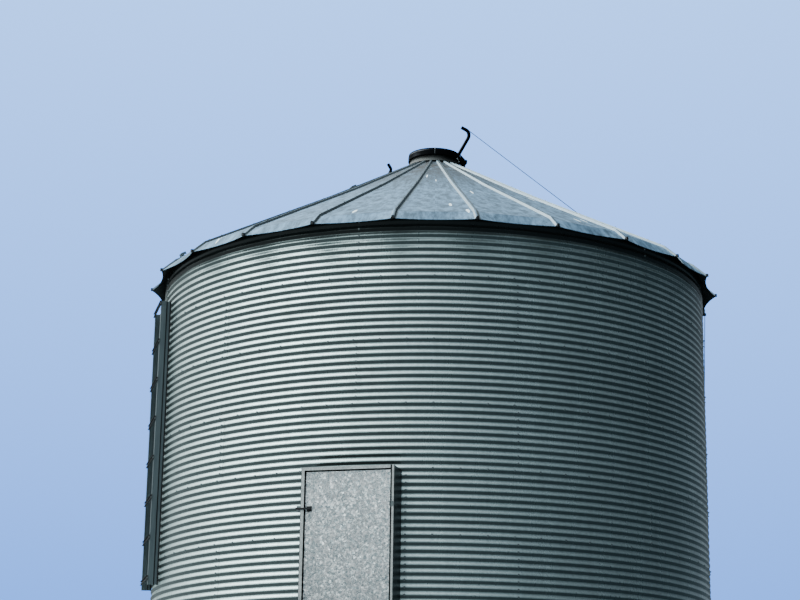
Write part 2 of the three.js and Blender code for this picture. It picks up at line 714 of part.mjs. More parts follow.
function buildWire() {
  const turn = WIRE_AZIMUTH * DEGREE;
  const at = (radius, z) => [radius * Math.sin(turn), -radius * Math.cos(turn), z];
  const start = [LEVER_POINTS[2][0] + LEVER_RADIUS + 2, 0, LEVER_POINTS[2][2]];
  const eye = at(EYE_RADIUS + 8, EYE_HEIGHT);
  const end = at(CLEAT_OUT, CLEAT_HEIGHT + 60 + GAP);
  const pieces = [bar(start, eye, WIRE_RADIUS), ball(eye, WIRE_RADIUS), bar(eye, end, WIRE_RADIUS)];
  add('lid_pull_wire', joined(...pieces), wireSteel);
}

function buildEye() {
  const bendTop = EAVE_BEND_HEIGHT + RIB_HEIGHT_AT_BEND;
  const tipTop = RIB_TIP_HEIGHT + RIB_HEIGHT_AT_TIP;
  const tilt = (tipTop - bendTop) / (RIB_TIP_RADIUS - EAVE_BEND_RADIUS);
  const ribEnd = (radius) => tipTop + (radius - RIB_TIP_RADIUS) * tilt;
  const seat = (radius) => ribEnd(radius) + GAP;
  const outline = [
    [EYE_RADIUS - 60, seat(EYE_RADIUS - 60)],
    [EYE_RADIUS - 2, seat(EYE_RADIUS - 2)],
    [EYE_RADIUS + 2, seat(EYE_RADIUS - 2)],
    [EYE_RADIUS + 2, EYE_HOLE_HEIGHT + 14],
    [EYE_RADIUS - 2, EYE_HOLE_HEIGHT + 14],
    [EYE_RADIUS - 2, seat(EYE_RADIUS - 2) + 5],
    [EYE_RADIUS - 60, seat(EYE_RADIUS - 60) + 5],
  ];
  const plate = profileAlongX(outline, -14, 14);
  const hole = rodAlongY(0, EYE_HOLE_HEIGHT, EYE_HOLE, -EYE_RADIUS - 10, -EYE_RADIUS + 10);
  add('wire_eye', cut(plate, hole), ladderSteel, WIRE_AZIMUTH);
}

function buildCleat() {
  const wall = CREST_RADIUS + GAP;
  const base = boxOut(-15, 15, wall, wall + 4, CLEAT_HEIGHT - 45, CLEAT_HEIGHT + 45);
  const post = boxOut(-8, 8, wall + 2, CLEAT_OUT, CLEAT_HEIGHT - 15, CLEAT_HEIGHT + 15);
  const horns = boxOut(-7, 7, CLEAT_OUT - 6, CLEAT_OUT + 6, CLEAT_HEIGHT - 60, CLEAT_HEIGHT + 60);
  add('wire_cleat', joined(base, post, horns), ladderSteel, WIRE_AZIMUTH);
}

buildWall();
buildFloor();
buildRoof();
buildCollar();
buildLid();
buildLever();
buildLidHinge();
buildDoorFrame();
buildDoorHinges();
buildLeaf();
buildHandle();
buildLadder();
buildRoofFittings();
buildEye();
buildCleat();
buildWire();

export default silo;
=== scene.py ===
# A farm grain silo: a corrugated steel bin with a ribbed cone roof, a walk-in door and a wall ladder.
# Everything is in metres. Azimuths are in degrees, 0 towards -Y, rising towards +X.

import math
import random

import bpy
import numpy as np
from mathutils import Matrix, Vector


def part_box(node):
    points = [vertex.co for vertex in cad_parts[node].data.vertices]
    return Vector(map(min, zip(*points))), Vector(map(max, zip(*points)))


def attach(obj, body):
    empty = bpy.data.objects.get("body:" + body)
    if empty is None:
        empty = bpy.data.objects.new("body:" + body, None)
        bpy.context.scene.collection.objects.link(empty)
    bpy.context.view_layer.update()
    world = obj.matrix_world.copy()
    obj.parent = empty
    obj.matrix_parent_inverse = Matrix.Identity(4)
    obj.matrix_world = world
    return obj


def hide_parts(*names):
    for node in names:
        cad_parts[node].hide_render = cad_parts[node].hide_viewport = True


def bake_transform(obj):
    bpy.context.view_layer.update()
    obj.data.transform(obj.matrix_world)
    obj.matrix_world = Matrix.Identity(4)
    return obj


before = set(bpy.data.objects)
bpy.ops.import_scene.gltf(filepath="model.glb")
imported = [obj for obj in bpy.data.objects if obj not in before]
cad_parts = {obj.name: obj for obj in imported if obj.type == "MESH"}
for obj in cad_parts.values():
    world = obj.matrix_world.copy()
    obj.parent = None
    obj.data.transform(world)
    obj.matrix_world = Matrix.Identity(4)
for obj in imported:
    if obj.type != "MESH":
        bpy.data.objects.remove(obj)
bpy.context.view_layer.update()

# Camera
# The photograph looks up at the bin from about 20 m, from a little below the level of its foot.
# Its place, tilt and lens come from a fit to the rings, seams and ribs.

CAMERA_PLACE = Vector((-0.0748, -19.7108, -1.190))
CAMERA_LEFT_TURN = 0.8355
CAMERA_RISE = 15.368
CAMERA_ROLL = 0.821
CAMERA_LENS = 83.985

camera = bpy.data.objects.new("camera", bpy.data.cameras.new("camera"))
bpy.context.scene.collection.objects.link(camera)
bpy.context.scene.camera = camera
camera.data.sensor_width = 36
camera.data.lens = CAMERA_LENS
camera.data.clip_end = 200
camera.matrix_world = (
    Matrix.Translation(CAMERA_PLACE)
    @ Matrix.Rotation(math.radians(CAMERA_LEFT_TURN), 4, "Z")
    @ Matrix.Rotation(math.radians(90 + CAMERA_RISE), 4, "X")
    @ Matrix.Rotation(math.radians(CAMERA_ROLL), 4, "Z")
)

# Light and floor
# A soft dome: pale ground below the horizon, dark sky just above it, and more light towards the zenith
# and the left, with a bluer right. One wide glow stands high behind the left and a faint one behind the
# bin. The floor is a pale disc that the steel doesn't reflect.

FLOOR_RADIUS = 8.0
FLOOR_DROP = 0.002
BACKDROP_LOW = (0.22, 0.62, 1.90)
BACKDROP_HIGH = (0.58, 1.22, 2.75)
DOME_AZIMUTH = -85
HORIZON_LEVEL = 0.005
ZENITH_LEVEL = 0.80
SKY_FALL = 2.15
GROUND_LEVEL = 0.40
GROUND_FALL = 0.85
GLOW_AZIMUTH = -108.8
GLOW_RISE = 64
GLOW_LEVEL = 18.5
GLOW_TIGHTNESS = 14.0
LEFT_TINT = (0.90, 1.0, 1.0, 1.0)
RIGHT_TINT = (0.80, 1.0, 1.24, 1.0)
GROUND_LEFT_TINT = (0.80, 0.97, 1.02, 1.0)
GROUND_RIGHT_TINT = (0.62, 1.0, 1.25, 1.0)
BACK_AZIMUTH = 165
BACK_LEVEL = 0.3
BACK_TIGHTNESS = 6.0
HORIZON_BLUR = 0.04
TINT_FROM = -1.0
TINT_TO = 0.6
BACKDROP_FROM = 0.08
BACKDROP_TO = 0.42

# Settings that many of the nodes below share
IN_COLOUR = {"data_type": "RGBA"}
TINTED = {"data_type": "RGBA", "blend_type": "MULTIPLY"}
TIMES = {"operation": "MULTIPLY"}
DOT = {"operation": "DOT_PRODUCT"}


def linear(colour):
    """An sRGB hex colour as linear red, green, blue and alpha."""
    parts = [int(colour[i:i + 2], 16) / 255 for i in (1, 3, 5)]
    return (*[c / 12.92 if c <= 0.04045 else ((c + 0.055) / 1.055) ** 2.4 for c in parts], 1.0)


def feed(made, links):
    """Fills inputs of a node, each by its name, or by its number after a letter. A link is a value, a
    socket, or another node, which then gives its first output in use."""
    for name, value in links.items():
        socket = made.inputs[int(name[1:]) if name[1:].isdigit() else name]
        if isinstance(value, bpy.types.Node):
            value = next(output for output in value.outputs if output.enabled)
        if isinstance(value, bpy.types.NodeSocket):
            made.id_data.links.new(value, socket)
        else:
            socket.default_value = value


def node(tree, kind, settings=None, **links):
    """Adds a shader node. settings holds its properties, and links what feeds its inputs."""
    made = tree.nodes.new("ShaderNode" + kind)
    for name, value in (settings or {}).items():
        setattr(made, name, value)
    feed(made, links)
    return made


def outward(azimuth):
    """The level direction away from the bin's axis at an azimuth."""
    turn = math.radians(azimuth)
    return Vector((math.sin(turn), -math.cos(turn), 0))


def at(azimuth, radius, level, aside=0.0):
    """A point at an azimuth, a distance from the bin's axis and a height, moved aside along the wall."""
    return outward(azimuth) * radius + outward(azimuth + 90) * aside + Vector((0, 0, level))


def fall(tree, share, level, rate):
    """A strength that grows by the same factor for each equal step of share."""
    power = node(tree, "Math", TIMES, i0=share, i1=rate)
    growth = node(tree, "Math", {"operation": "EXPONENT"}, i0=power)
    return node(tree, "Math", TIMES, i0=growth, i1=level)


world = bpy.data.worlds.new("dome")
bpy.context.scene.world = world
world.use_nodes = True
dome = world.node_tree
dome.nodes.clear()
direction = node(dome, "TexCoord").outputs["Generated"]
height = node(dome, "SeparateXYZ", Vector=direction).outputs["Z"]
leftness = node(dome, "VectorMath", DOT, i0=direction, i1=outward(DOME_AZIMUTH))
glow_rise = math.radians(GLOW_RISE)
towards_glow = outward(GLOW_AZIMUTH) * math.cos(glow_rise) + Vector((0, 0, math.sin(glow_rise)))
nearness = node(dome, "VectorMath", DOT, i0=direction, i1=towards_glow)
glow = fall(dome, nearness, GLOW_LEVEL * math.exp(-GLOW_TIGHTNESS), GLOW_TIGHTNESS)
sky = node(dome, "MapRange", Value=height, i1=0.0, i2=1.0, i3=HORIZON_LEVEL, i4=ZENITH_LEVEL)
side_fall = fall(dome, leftness, 1.0, SKY_FALL)
sky = node(dome, "Math", TIMES, i0=sky, i1=side_fall)
above = node(dome, "Math", {"operation": "ADD"}, i0=sky, i1=glow)
behind = node(dome, "VectorMath", DOT, i0=direction, i1=outward(BACK_AZIMUTH))
back_light = fall(dome, behind, BACK_LEVEL * math.exp(-BACK_TIGHTNESS), BACK_TIGHTNESS)
above = node(dome, "Math", {"operation": "ADD"}, i0=above, i1=back_light)
below = fall(dome, leftness, GROUND_LEVEL, GROUND_FALL)
level = node(dome, "MapRange", Value=height, i1=-HORIZON_BLUR, i2=HORIZON_BLUR)
strength = node(dome, "Mix", i0=level, i2=below, i3=above)
share = node(dome, "MapRange", Value=leftness, i1=TINT_FROM, i2=TINT_TO)
tint = node(dome, "Mix", IN_COLOUR, i0=share, i6=RIGHT_TINT, i7=LEFT_TINT)
ground_tint = node(dome, "Mix", IN_COLOUR, i0=share, i6=GROUND_RIGHT_TINT, i7=GROUND_LEFT_TINT)
hue = node(dome, "Mix", IN_COLOUR, i0=level, i6=ground_tint, i7=tint)
lit = node(dome, "Background", Color=hue, Strength=strength)
rise = node(dome, "MapRange", Value=height, i1=BACKDROP_FROM, i2=BACKDROP_TO)
backdrop = node(dome, "Mix", IN_COLOUR, i0=rise, i6=(*BACKDROP_LOW, 1.0), i7=(*BACKDROP_HIGH, 1.0))
plain = node(dome, "Background", Color=backdrop, Strength=1.0)
seen = node(dome, "LightPath").outputs["Is Camera Ray"]
mixed = node(dome, "MixShader", i0=seen, i1=lit, i2=plain)
node(dome, "OutputWorld", Surface=mixed)


def new_material(name, metallic, roughness):
    """A material with a principled shader. Gives the material, that shader and its node tree."""
    material = bpy.data.materials.new(name)
    material.use_nodes = True
    shader = material.node_tree.nodes["Principled BSDF"]
    shader.inputs["Metallic"].default_value = metallic
    shader.inputs["Roughness"].default_value = roughness
    return material, shader, material.node_tree


def new_object(name, vertices, faces, materials, sharp=None):
    """A mesh object. Edges past an angle of sharp degrees stay crisp, and without it all faces are flat."""
    mesh = bpy.data.meshes.new(name)
    mesh.from_pydata([tuple(v) for v in vertices], [], faces)
    for material in materials:
        mesh.materials.append(material)
    made = bpy.data.objects.new(name, mesh)
    bpy.context.scene.collection.objects.link(made)
    if sharp is not None:
        mesh.shade_smooth()
        mesh.set_sharp_from_angle(angle=math.radians(sharp))
    return made


# Matt paper: even and pale, with no shine
pale_floor, floor_shader, _ = new_material("matt paper floor", 0.0, 0.9)
floor_shader.inputs["Base Color"].default_value = linear("#D9D9D6")
floor_rim = [at(azimuth, FLOOR_RADIUS, -FLOOR_DROP) for azimuth in range(0, 360, 5)]
floor = new_object("studio_floor", floor_rim, [tuple(range(len(floor_rim)))], [pale_floor])
floor.visible_glossy = False
floor.visible_diffuse = False

# Wall
# Seven rings of six sheets, roll-formed with nine corrugations of 2 2/3 inches each, in hot-dip
# galvanised steel. Each ring laps outside the one below and each sheet laps its neighbour, bolted
# through the crest. Three rings stop at the doorway's sides.

PITCH = 0.067733
WAVES_PER_RING = 9
RING_COUNT = 7
SHEETS_PER_RING = 6
CREST_RADIUS = 2.909
FIRST_WAVE = 0.0123
THIRD_WAVE = 0.0004
SAMPLES_PER_WAVE = 12
COLUMN_DEGREES = 1.25
LAP_WAVES = 0.42
LAP_DEGREES = 1.3
LAP_STEP = 0.0008
DOOR_AZIMUTH = -14.2
DOOR_HALF_ANGLE = 8.645
DOOR_RINGS = 3
LOWEST_CREST = PITCH / 4
RING_HEIGHT = PITCH * WAVES_PER_RING
DOORWAY_TOP = RING_HEIGHT * DOOR_RINGS
WALL_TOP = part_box("wall_segment_01")[1].z
FIRST_SEAMS = (-15, 15)
# Painted shadow of the eave: the wall darkens between these two heights, down to this share of its colour
EAVE_SHADOW_BOTTOM = 4.075
EAVE_SHADOW_FULL = 4.125
EAVE_SHADOW_FACTOR = 0.12

# The range of the sheets' shades, and the number of slow waves in their buckles
SHEET_TONES = (0.93, 1.05)
BUCKLES = 9

# Each dent has an azimuth, a height, half its width along and up the wall, and a depth
DENTS = (
    (-23.0, 3.36, 0.16, 0.07, 0.010),
    (-20.5, 3.26, 0.10, 0.05, 0.007),
    (-27.5, 3.31, 0.12, 0.05, 0.006),
    (-31.0, 2.55, 0.20, 0.10, 0.005),
    (9.0, 3.42, 0.25, 0.09, 0.005),
    (24.0, 2.30, 0.18, 0.12, 0.006),
    (-9.5, 2.72, 0.14, 0.07, 0.004),
    (62.0, 1.55, 0.22, 0.10, 0.007),
    (140.0, 1.10, 0.25, 0.14, 0.008),
    (-130.0, 2.05, 0.20, 0.12, 0.006),
)

rng = random.Random(41)
WAVES_IN_SHEET = [
    (
        rng.choice((3, 5, 7, 9, 13, 17)),
        rng.uniform(0.6, 4.5),
        rng.uniform(0, 6.28),
        rng.uniform(0.0003, 0.0008),
    )
    for _ in range(BUCKLES)
]


def crest_level(ring, wave=0):
    """The height of a ring's lowest crest, or of one some waves above it."""
    return ring * RING_HEIGHT + LOWEST_CREST + wave * PITCH


def seam_azimuth(ring, number):
    """The azimuth where one of a ring's sheets begins. The seams of every second ring line up."""
    return FIRST_SEAMS[ring % 2] - 180 + number * 360 / SHEETS_PER_RING


def corrugation(z):
    """The distance of the sheet from the axis at a height: round crests and grooves, straight flanks."""
    turn = 2 * np.pi * (z - LOWEST_CREST) / PITCH
    return CREST_RADIUS - (FIRST_WAVE * (1 - np.cos(turn)) + THIRD_WAVE * (1 - np.cos(3 * turn))) / 2


def unevenness(azimuth, z):
    """How far the sheet stands off its true place: slow buckles from handling, and the dents."""
    turn = np.radians(azimuth)
    total = np.zeros_like(turn * z)
    for around, up, start, size in WAVES_IN_SHEET:
        total += size * np.sin(around * turn + up * z + start)
    for place, level, wide, tall, depth in DENTS:
        along = (azimuth - place) * math.pi / 180 * CREST_RADIUS
        total -= depth * np.exp(-((along / wide) ** 2) - ((z - level) / tall) ** 2)
    return total


def steel_wall():
    """Hot-dip galvanised sheet, roll-formed and weathered: a satin zinc face that mirrors sky and
    ground softly, with a painted highlight where it faces up, painted shade where it faces down and a
    painted shadow below the eave. Its crystals are drawn about 19 mm across, coarser than real ones, so
    that they show."""
    material, shader, tree = new_material("roll-formed galvanised steel", 0.64, 0.28)
    place = node(tree, "NewGeometry")
    position = place.outputs["Position"]
    up = node(tree, "SeparateXYZ", Vector=place.outputs["Normal"]).outputs["Z"]
    # Painted light: the sheet is paler where it faces up to the sky and darker where it faces down to the
    # ground
    painted_facing_light = node(tree, "MapRange", {"interpolation_type": "SMOOTHSTEP"}, Value=up, i1=-0.30, i2=0.02)
    zinc = node(tree, "Mix", IN_COLOUR, i0=painted_facing_light, i6=linear("#515B5B"), i7=linear("#BCCFCF"))
    tone = node(tree, "Attribute", {"attribute_name": "tone"}).outputs["Fac"]
    stretched = node(tree, "Mapping", Vector=position, Scale=(9.0, 9.0, 0.7))
    streaks = node(tree, "TexNoise", Vector=stretched, Scale=1.0, Detail=5.0, Roughness=0.6)
    spangle = node(tree, "TexVoronoi", Vector=position, Scale=52.0)
    grains = node(tree, "SeparateColor", Color=spangle.outputs["Color"])
    streak = node(tree, "MapRange", Value=streaks, i1=0.3, i2=0.7, i3=0.90, i4=1.07)
    grain = node(tree, "MapRange", Value=grains, i3=0.92, i4=1.08)
    level = node(tree, "SeparateXYZ", Vector=position).outputs["Z"]
    # Painted shadow of the eave across the top rows of the wall
    painted_eave_shadow = node(tree, "MapRange", Value=level, i1=EAVE_SHADOW_BOTTOM, i2=EAVE_SHADOW_FULL, i3=1.0,
                     i4=EAVE_SHADOW_FACTOR)
    shade = streak
    for part in (grain, tone, painted_eave_shadow):
        shade = node(tree, "Math", TIMES, i0=shade, i1=part)
    colour = node(tree, "Mix", TINTED, i0=1.0, i6=zinc, i7=shade)
    gloss = node(tree, "MapRange", Value=streaks, i1=0.3, i2=0.7, i3=0.33, i4=0.25)
    ripple = node(tree, "TexNoise", Vector=position, Scale=14.0, Detail=3.0)
    bump = node(tree, "Bump", Height=ripple, Strength=0.10, Distance=0.004)
    feed(shader, {"Base Color": colour, "Roughness": gloss, "Normal": bump})
    return material


def spans(first, last):
    """The parts of a sheet between two azimuths that the doorway leaves, for a ring beside it."""
    left = DOOR_AZIMUTH - DOOR_HALF_ANGLE
    right = DOOR_AZIMUTH + DOOR_HALF_ANGLE
    if last <= left or first >= right:
        return [(first, last)]
    return [(a, b) for a, b in ((first, left), (right, last)) if b > a]


def sheet_grid(first, last, seam, bottom, top, ring_bottom):
    """Vertices and faces of one sheet between two azimuths. seam is the azimuth where the sheet begins."""
    columns = max(2, math.ceil((last - first) / COLUMN_DEGREES) + 1)
    azimuths = np.linspace(first, last, columns)[None, :]
    rows = round((top - bottom) / PITCH * SAMPLES_PER_WAVE) + 1
    levels = np.linspace(bottom, top, rows)[:, None]
    lean = LAP_STEP * (1 - 2 * (levels - ring_bottom) / RING_HEIGHT)
    lap = LAP_STEP * (2 * (azimuths - seam) / (360 / SHEETS_PER_RING) - 1)
    out = corrugation(levels) + lean + lap + unevenness(azimuths, levels)
    turn = np.radians(azimuths)
    points = np.stack([out * np.sin(turn), -out * np.cos(turn), levels + 0 * out], axis=-1).reshape(-1, 3)
    index = np.arange(rows * columns).reshape(rows, columns)
    faces = np.stack([index[:-1, :-1], index[:-1, 1:], index[1:, 1:], index[1:, :-1]], axis=-1)
    return points, faces.reshape(-1, 4)


def wall_ring(ring, material):
    """One ring of sheets. Ring 0 stands on the floor."""
    ring_bottom = crest_level(ring)
    bottom = max(0.0, ring_bottom - LAP_WAVES * PITCH)
    top = min(WALL_TOP, ring_bottom + RING_HEIGHT + LAP_WAVES * PITCH)
    points, faces, tones, count = [], [], [], 0
    for number in range(SHEETS_PER_RING):
        seam = seam_azimuth(ring, number)
        tone = rng.uniform(*SHEET_TONES)
        end = seam + 360 / SHEETS_PER_RING + LAP_DEGREES
        for first, last in spans(seam, end) if ring < DOOR_RINGS else [(seam, end)]:
            grid, quads = sheet_grid(first, last, seam, bottom, top, ring_bottom)
            points.append(grid)
            faces.append(quads + count)
            tones.append(np.full(len(grid), tone))
            count += len(grid)
    made = new_object(f"wall_ring_{ring + 1}", np.concatenate(points).tolist(),
                      np.concatenate(faces).tolist(), [material], sharp=60)
    attribute = made.data.attributes.new("tone", "FLOAT", "POINT")
    attribute.data.foreach_set("value", np.concatenate(tones))
    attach(made, "bin")
    return made


wall_steel = steel_wall()
for ring in range(RING_COUNT):
    sheets = wall_ring(ring, wall_steel)
    if ring == 0:
        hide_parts("wall_over_door", *[f"wall_segment_{i:02d}" for i in range(1, 13)])

# Wall bolts
# Plated flange bolts with a rubber washer, driven from outside through the crests: one on each down
# a vertical lap and beside the door frame, and one each five degrees along a horizontal lap.

BOLT_ACROSS = 0.014
BOLT_HEAD = 0.007
WASHER_RADIUS = 0.011
WASHER_THICKNESS = 0.0025
BOLT_STEP_DEGREES = 5
FRAME_BOLT_INSET = 0.75
DOORWAY_MARGIN = 1.2


def patchy_steel(name, metallic, roughness, dark, pale, scale, detail=5.0):
    """Steel under a thin film of dirt: two shades in soft patches, about scale of them to the metre."""
    material, shader, tree = new_material(name, metallic, roughness)
    position = node(tree, "NewGeometry").outputs["Position"]
    film = node(tree, "TexNoise", Vector=position, Scale=scale, Detail=detail)
    colour = node(tree, "Mix", IN_COLOUR, i0=film, i6=linear(dark), i7=linear(pale))
    feed(shader, {"Base Color": colour})
    return material


def band(faces, low, high, count):
    """Adds the faces between two rings of count points, whose first points are low and high."""
    for i in range(count):
        j = (i + 1) % count
        faces.append((low + i, low + j, high + j, high + i))


def bolt_shape(vertices, faces, centre, normal, scale=1.0):
    """Adds a washer and a hexagon head at a point on the sheet, facing along normal."""
    turn = normal.to_track_quat("Z", "Y").to_matrix()
    top = WASHER_THICKNESS + BOLT_HEAD
    for sides, *rings in (
        (10, (WASHER_RADIUS, 0.0), (WASHER_RADIUS * 0.9, WASHER_THICKNESS)),
        (6, (BOLT_ACROSS / 2, WASHER_THICKNESS), (BOLT_ACROSS / 2 * 0.93, top)),
    ):
        start = len(vertices)
        for radius, level in rings:
            for i in range(sides):
                angle = 2 * math.pi * i / sides
                local = Vector((radius * math.cos(angle), radius * math.sin(angle), level)) * scale
                vertices.append(centre + turn @ local)
        band(faces, start, start + sides, sides)
        faces.append(tuple(range(start + sides, start + 2 * sides)))


def in_doorway(azimuth, z):
    """Whether a place on the wall is inside the doorway or right beside it."""
    return z < DOORWAY_TOP and abs(azimuth - DOOR_AZIMUTH) < DOOR_HALF_ANGLE + DOORWAY_MARGIN


def wall_bolts():
    """All the bolts of the wall, as one piece."""
    vertices, faces = [], []

    def place(azimuth, z):
        out = float(corrugation(z) + unevenness(np.array(azimuth), np.array(z)))
        bolt_shape(vertices, faces, at(azimuth, out, z), outward(azimuth))

    for ring in range(1, RING_COUNT):
        level = crest_level(ring)
        for azimuth in range(-180, 180, BOLT_STEP_DEGREES):
            if not in_doorway(azimuth, level - PITCH):
                place(azimuth, level)
    for ring in range(RING_COUNT):
        for number in range(SHEETS_PER_RING):
            azimuth = seam_azimuth(ring, number) + LAP_DEGREES / 2
            for wave in range(1, WAVES_PER_RING):
                if not in_doorway(azimuth, crest_level(ring, wave)):
                    place(azimuth, crest_level(ring, wave))
    for wave in range(WAVES_PER_RING * DOOR_RINGS):
        for side in (-1, 1):
            place(DOOR_AZIMUTH + side * (DOOR_HALF_ANGLE + FRAME_BOLT_INSET), crest_level(0, wave))
    return vertices, faces


# Zinc-plated steel gone dull: grey, with a dark film of dirt in patches
bolt_steel = patchy_steel("dull zinc-plated bolt steel", 0.85, 0.45, "#667073", "#A6B0B2", 55.0, 4.0)
bolts = new_object("wall_bolts", *wall_bolts(), [bolt_steel])
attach(bolts, "bin")

# Roof
# Twenty-four pie-shaped panels of galvanised steel. Each has a flat pan and a raised rib along its
# sides, is bent down past the wall and is cut to a scallop at its edge. Two ribs nest and are bolted.

GORES = 24
HALF_GORE = math.radians(180 / GORES)
ROOF_TOP_RADIUS = 0.280
RIB_TOP_RADIUS = 0.298
BEND_RADIUS = 2.911
BEND_HEIGHT = 4.311
KNEE_RADIUS = 1.400
SLOPE_BELOW_KNEE = 0.5305
SLOPE_ABOVE_KNEE = 0.5625
TIP_RADIUS = 3.045
TIP_HEIGHT = 4.195
SCALLOP_RADIUS = 2.978
SCALLOP_HEIGHT = 4.199
RIB_HALF_BASE = 0.024
RIB_HALF_TOP = 0.011
# Width of the strip of pan beside each left rib's foot that is painted as shade
RIB_FOOT_SHADE = 0.012
RIB_AT_PEAK = 0.018
RIB_AT_BEND = 0.024
RIB_AT_TIP = 0.022
SHEET_DROP = 0.0035
# The lip past the bend is drawn this much lighter than the rest of the sheet
LIP_LIGHTER = 1.25
PAN_STEPS = 12
PAN_RADII = (ROOF_TOP_RADIUS, RIB_TOP_RADIUS, 0.6, 1.0, KNEE_RADIUS, 1.8, 2.2, 2.6, 2.86)

# More rows lie close to the bend, at shares of the way back from it and of the way out along the lip
BEFORE_BEND = 0.35
LIP_SHARES = (0.12, 0.55)

# Columns of a panel are counted from its middle: 1 is a rib's foot, 2 its shoulder and 3 its middle line.
# The edge stops a hair short of that line, so that two nested panels don't share a face.
RIB_MIDDLE = 3 - 1e-3


def rib_foot(radius):
    """The height of a rib's foot: the sheets sag a little, so the slope steepens above a knee."""
    low = max(radius, KNEE_RADIUS)
    return BEND_HEIGHT + (BEND_RADIUS - low) * SLOPE_BELOW_KNEE + (low - radius) * SLOPE_ABOVE_KNEE


def roof_height(along):
    """The height of a flat pan at a distance along its own centre line."""
    return rib_foot(along / math.cos(HALF_GORE))


def rib_rise(radius):
    """How high a rib stands at a distance from the axis."""
    if radius >= BEND_RADIUS:
        share = (radius - BEND_RADIUS) / (TIP_RADIUS - BEND_RADIUS)
        return RIB_AT_BEND + share * (RIB_AT_TIP - RIB_AT_BEND)
    share = max(0.0, (radius - RIB_TOP_RADIUS) / (BEND_RADIUS - RIB_TOP_RADIUS))
    return RIB_AT_PEAK + share * (RIB_AT_BEND - RIB_AT_PEAK)


def beside_rib(radius, inset):
    """A point beside a rib as (across, along) in the gore's own frame."""
    across = radius * math.sin(HALF_GORE) - inset * math.cos(HALF_GORE)
    return across, radius * math.cos(HALF_GORE) + inset * math.sin(HALF_GORE)


def gore_column(share, margin=0.0):
    """A column of a gore from peak to edge. share is -1 to 1 across the pan, or past it on the ribs.
    margin moves a pan's column in from the rib by a fixed width, or half way where the pan is narrow."""
    side = math.copysign(1, share)
    extra = abs(share) - 1
    points = []
    if extra <= 0:
        for radius in PAN_RADII:
            reach, along = beside_rib(radius, RIB_HALF_BASE)
            points.append((share * (reach - min(margin, reach / 2)), along, roof_height(along)))
        bend = share * (beside_rib(BEND_RADIUS, RIB_HALF_BASE)[0] - margin)
        bend_along = math.sqrt(BEND_RADIUS ** 2 - bend ** 2)
        reach, tip_along = beside_rib(TIP_RADIUS, RIB_HALF_BASE)
        share *= 1 - margin / reach
        edge = (share * reach, SCALLOP_RADIUS + share ** 2 * (tip_along - SCALLOP_RADIUS),
                SCALLOP_HEIGHT + share ** 2 * (TIP_HEIGHT - SCALLOP_HEIGHT))
        crease = (bend, bend_along, roof_height(bend_along))
    else:
        slanted = (RIB_HALF_BASE - RIB_HALF_TOP) * min(1, extra)
        inset = RIB_HALF_BASE - slanted - RIB_HALF_TOP * max(0, extra - 1)
        rise = min(1, extra)
        for radius in PAN_RADII:
            across, along = beside_rib(radius, inset)
            height = rise * rib_rise(radius) if radius > ROOF_TOP_RADIUS else 0.0
            points.append((side * across, along, rib_foot(radius) + height))
        across, along = beside_rib(BEND_RADIUS, inset)
        crease = (side * across, along, BEND_HEIGHT + rise * RIB_AT_BEND)
        across, along = beside_rib(TIP_RADIUS, inset)
        edge = (side * across, along, TIP_HEIGHT + rise * RIB_AT_TIP)
    start, end = Vector(points[-1]), Vector(edge)
    middle = Vector(crease)
    lip = [middle + (end - middle) * share for share in LIP_SHARES]
    before = middle + (start - middle) * BEFORE_BEND
    return points + [tuple(point) for point in (before, middle, *lip, end)]


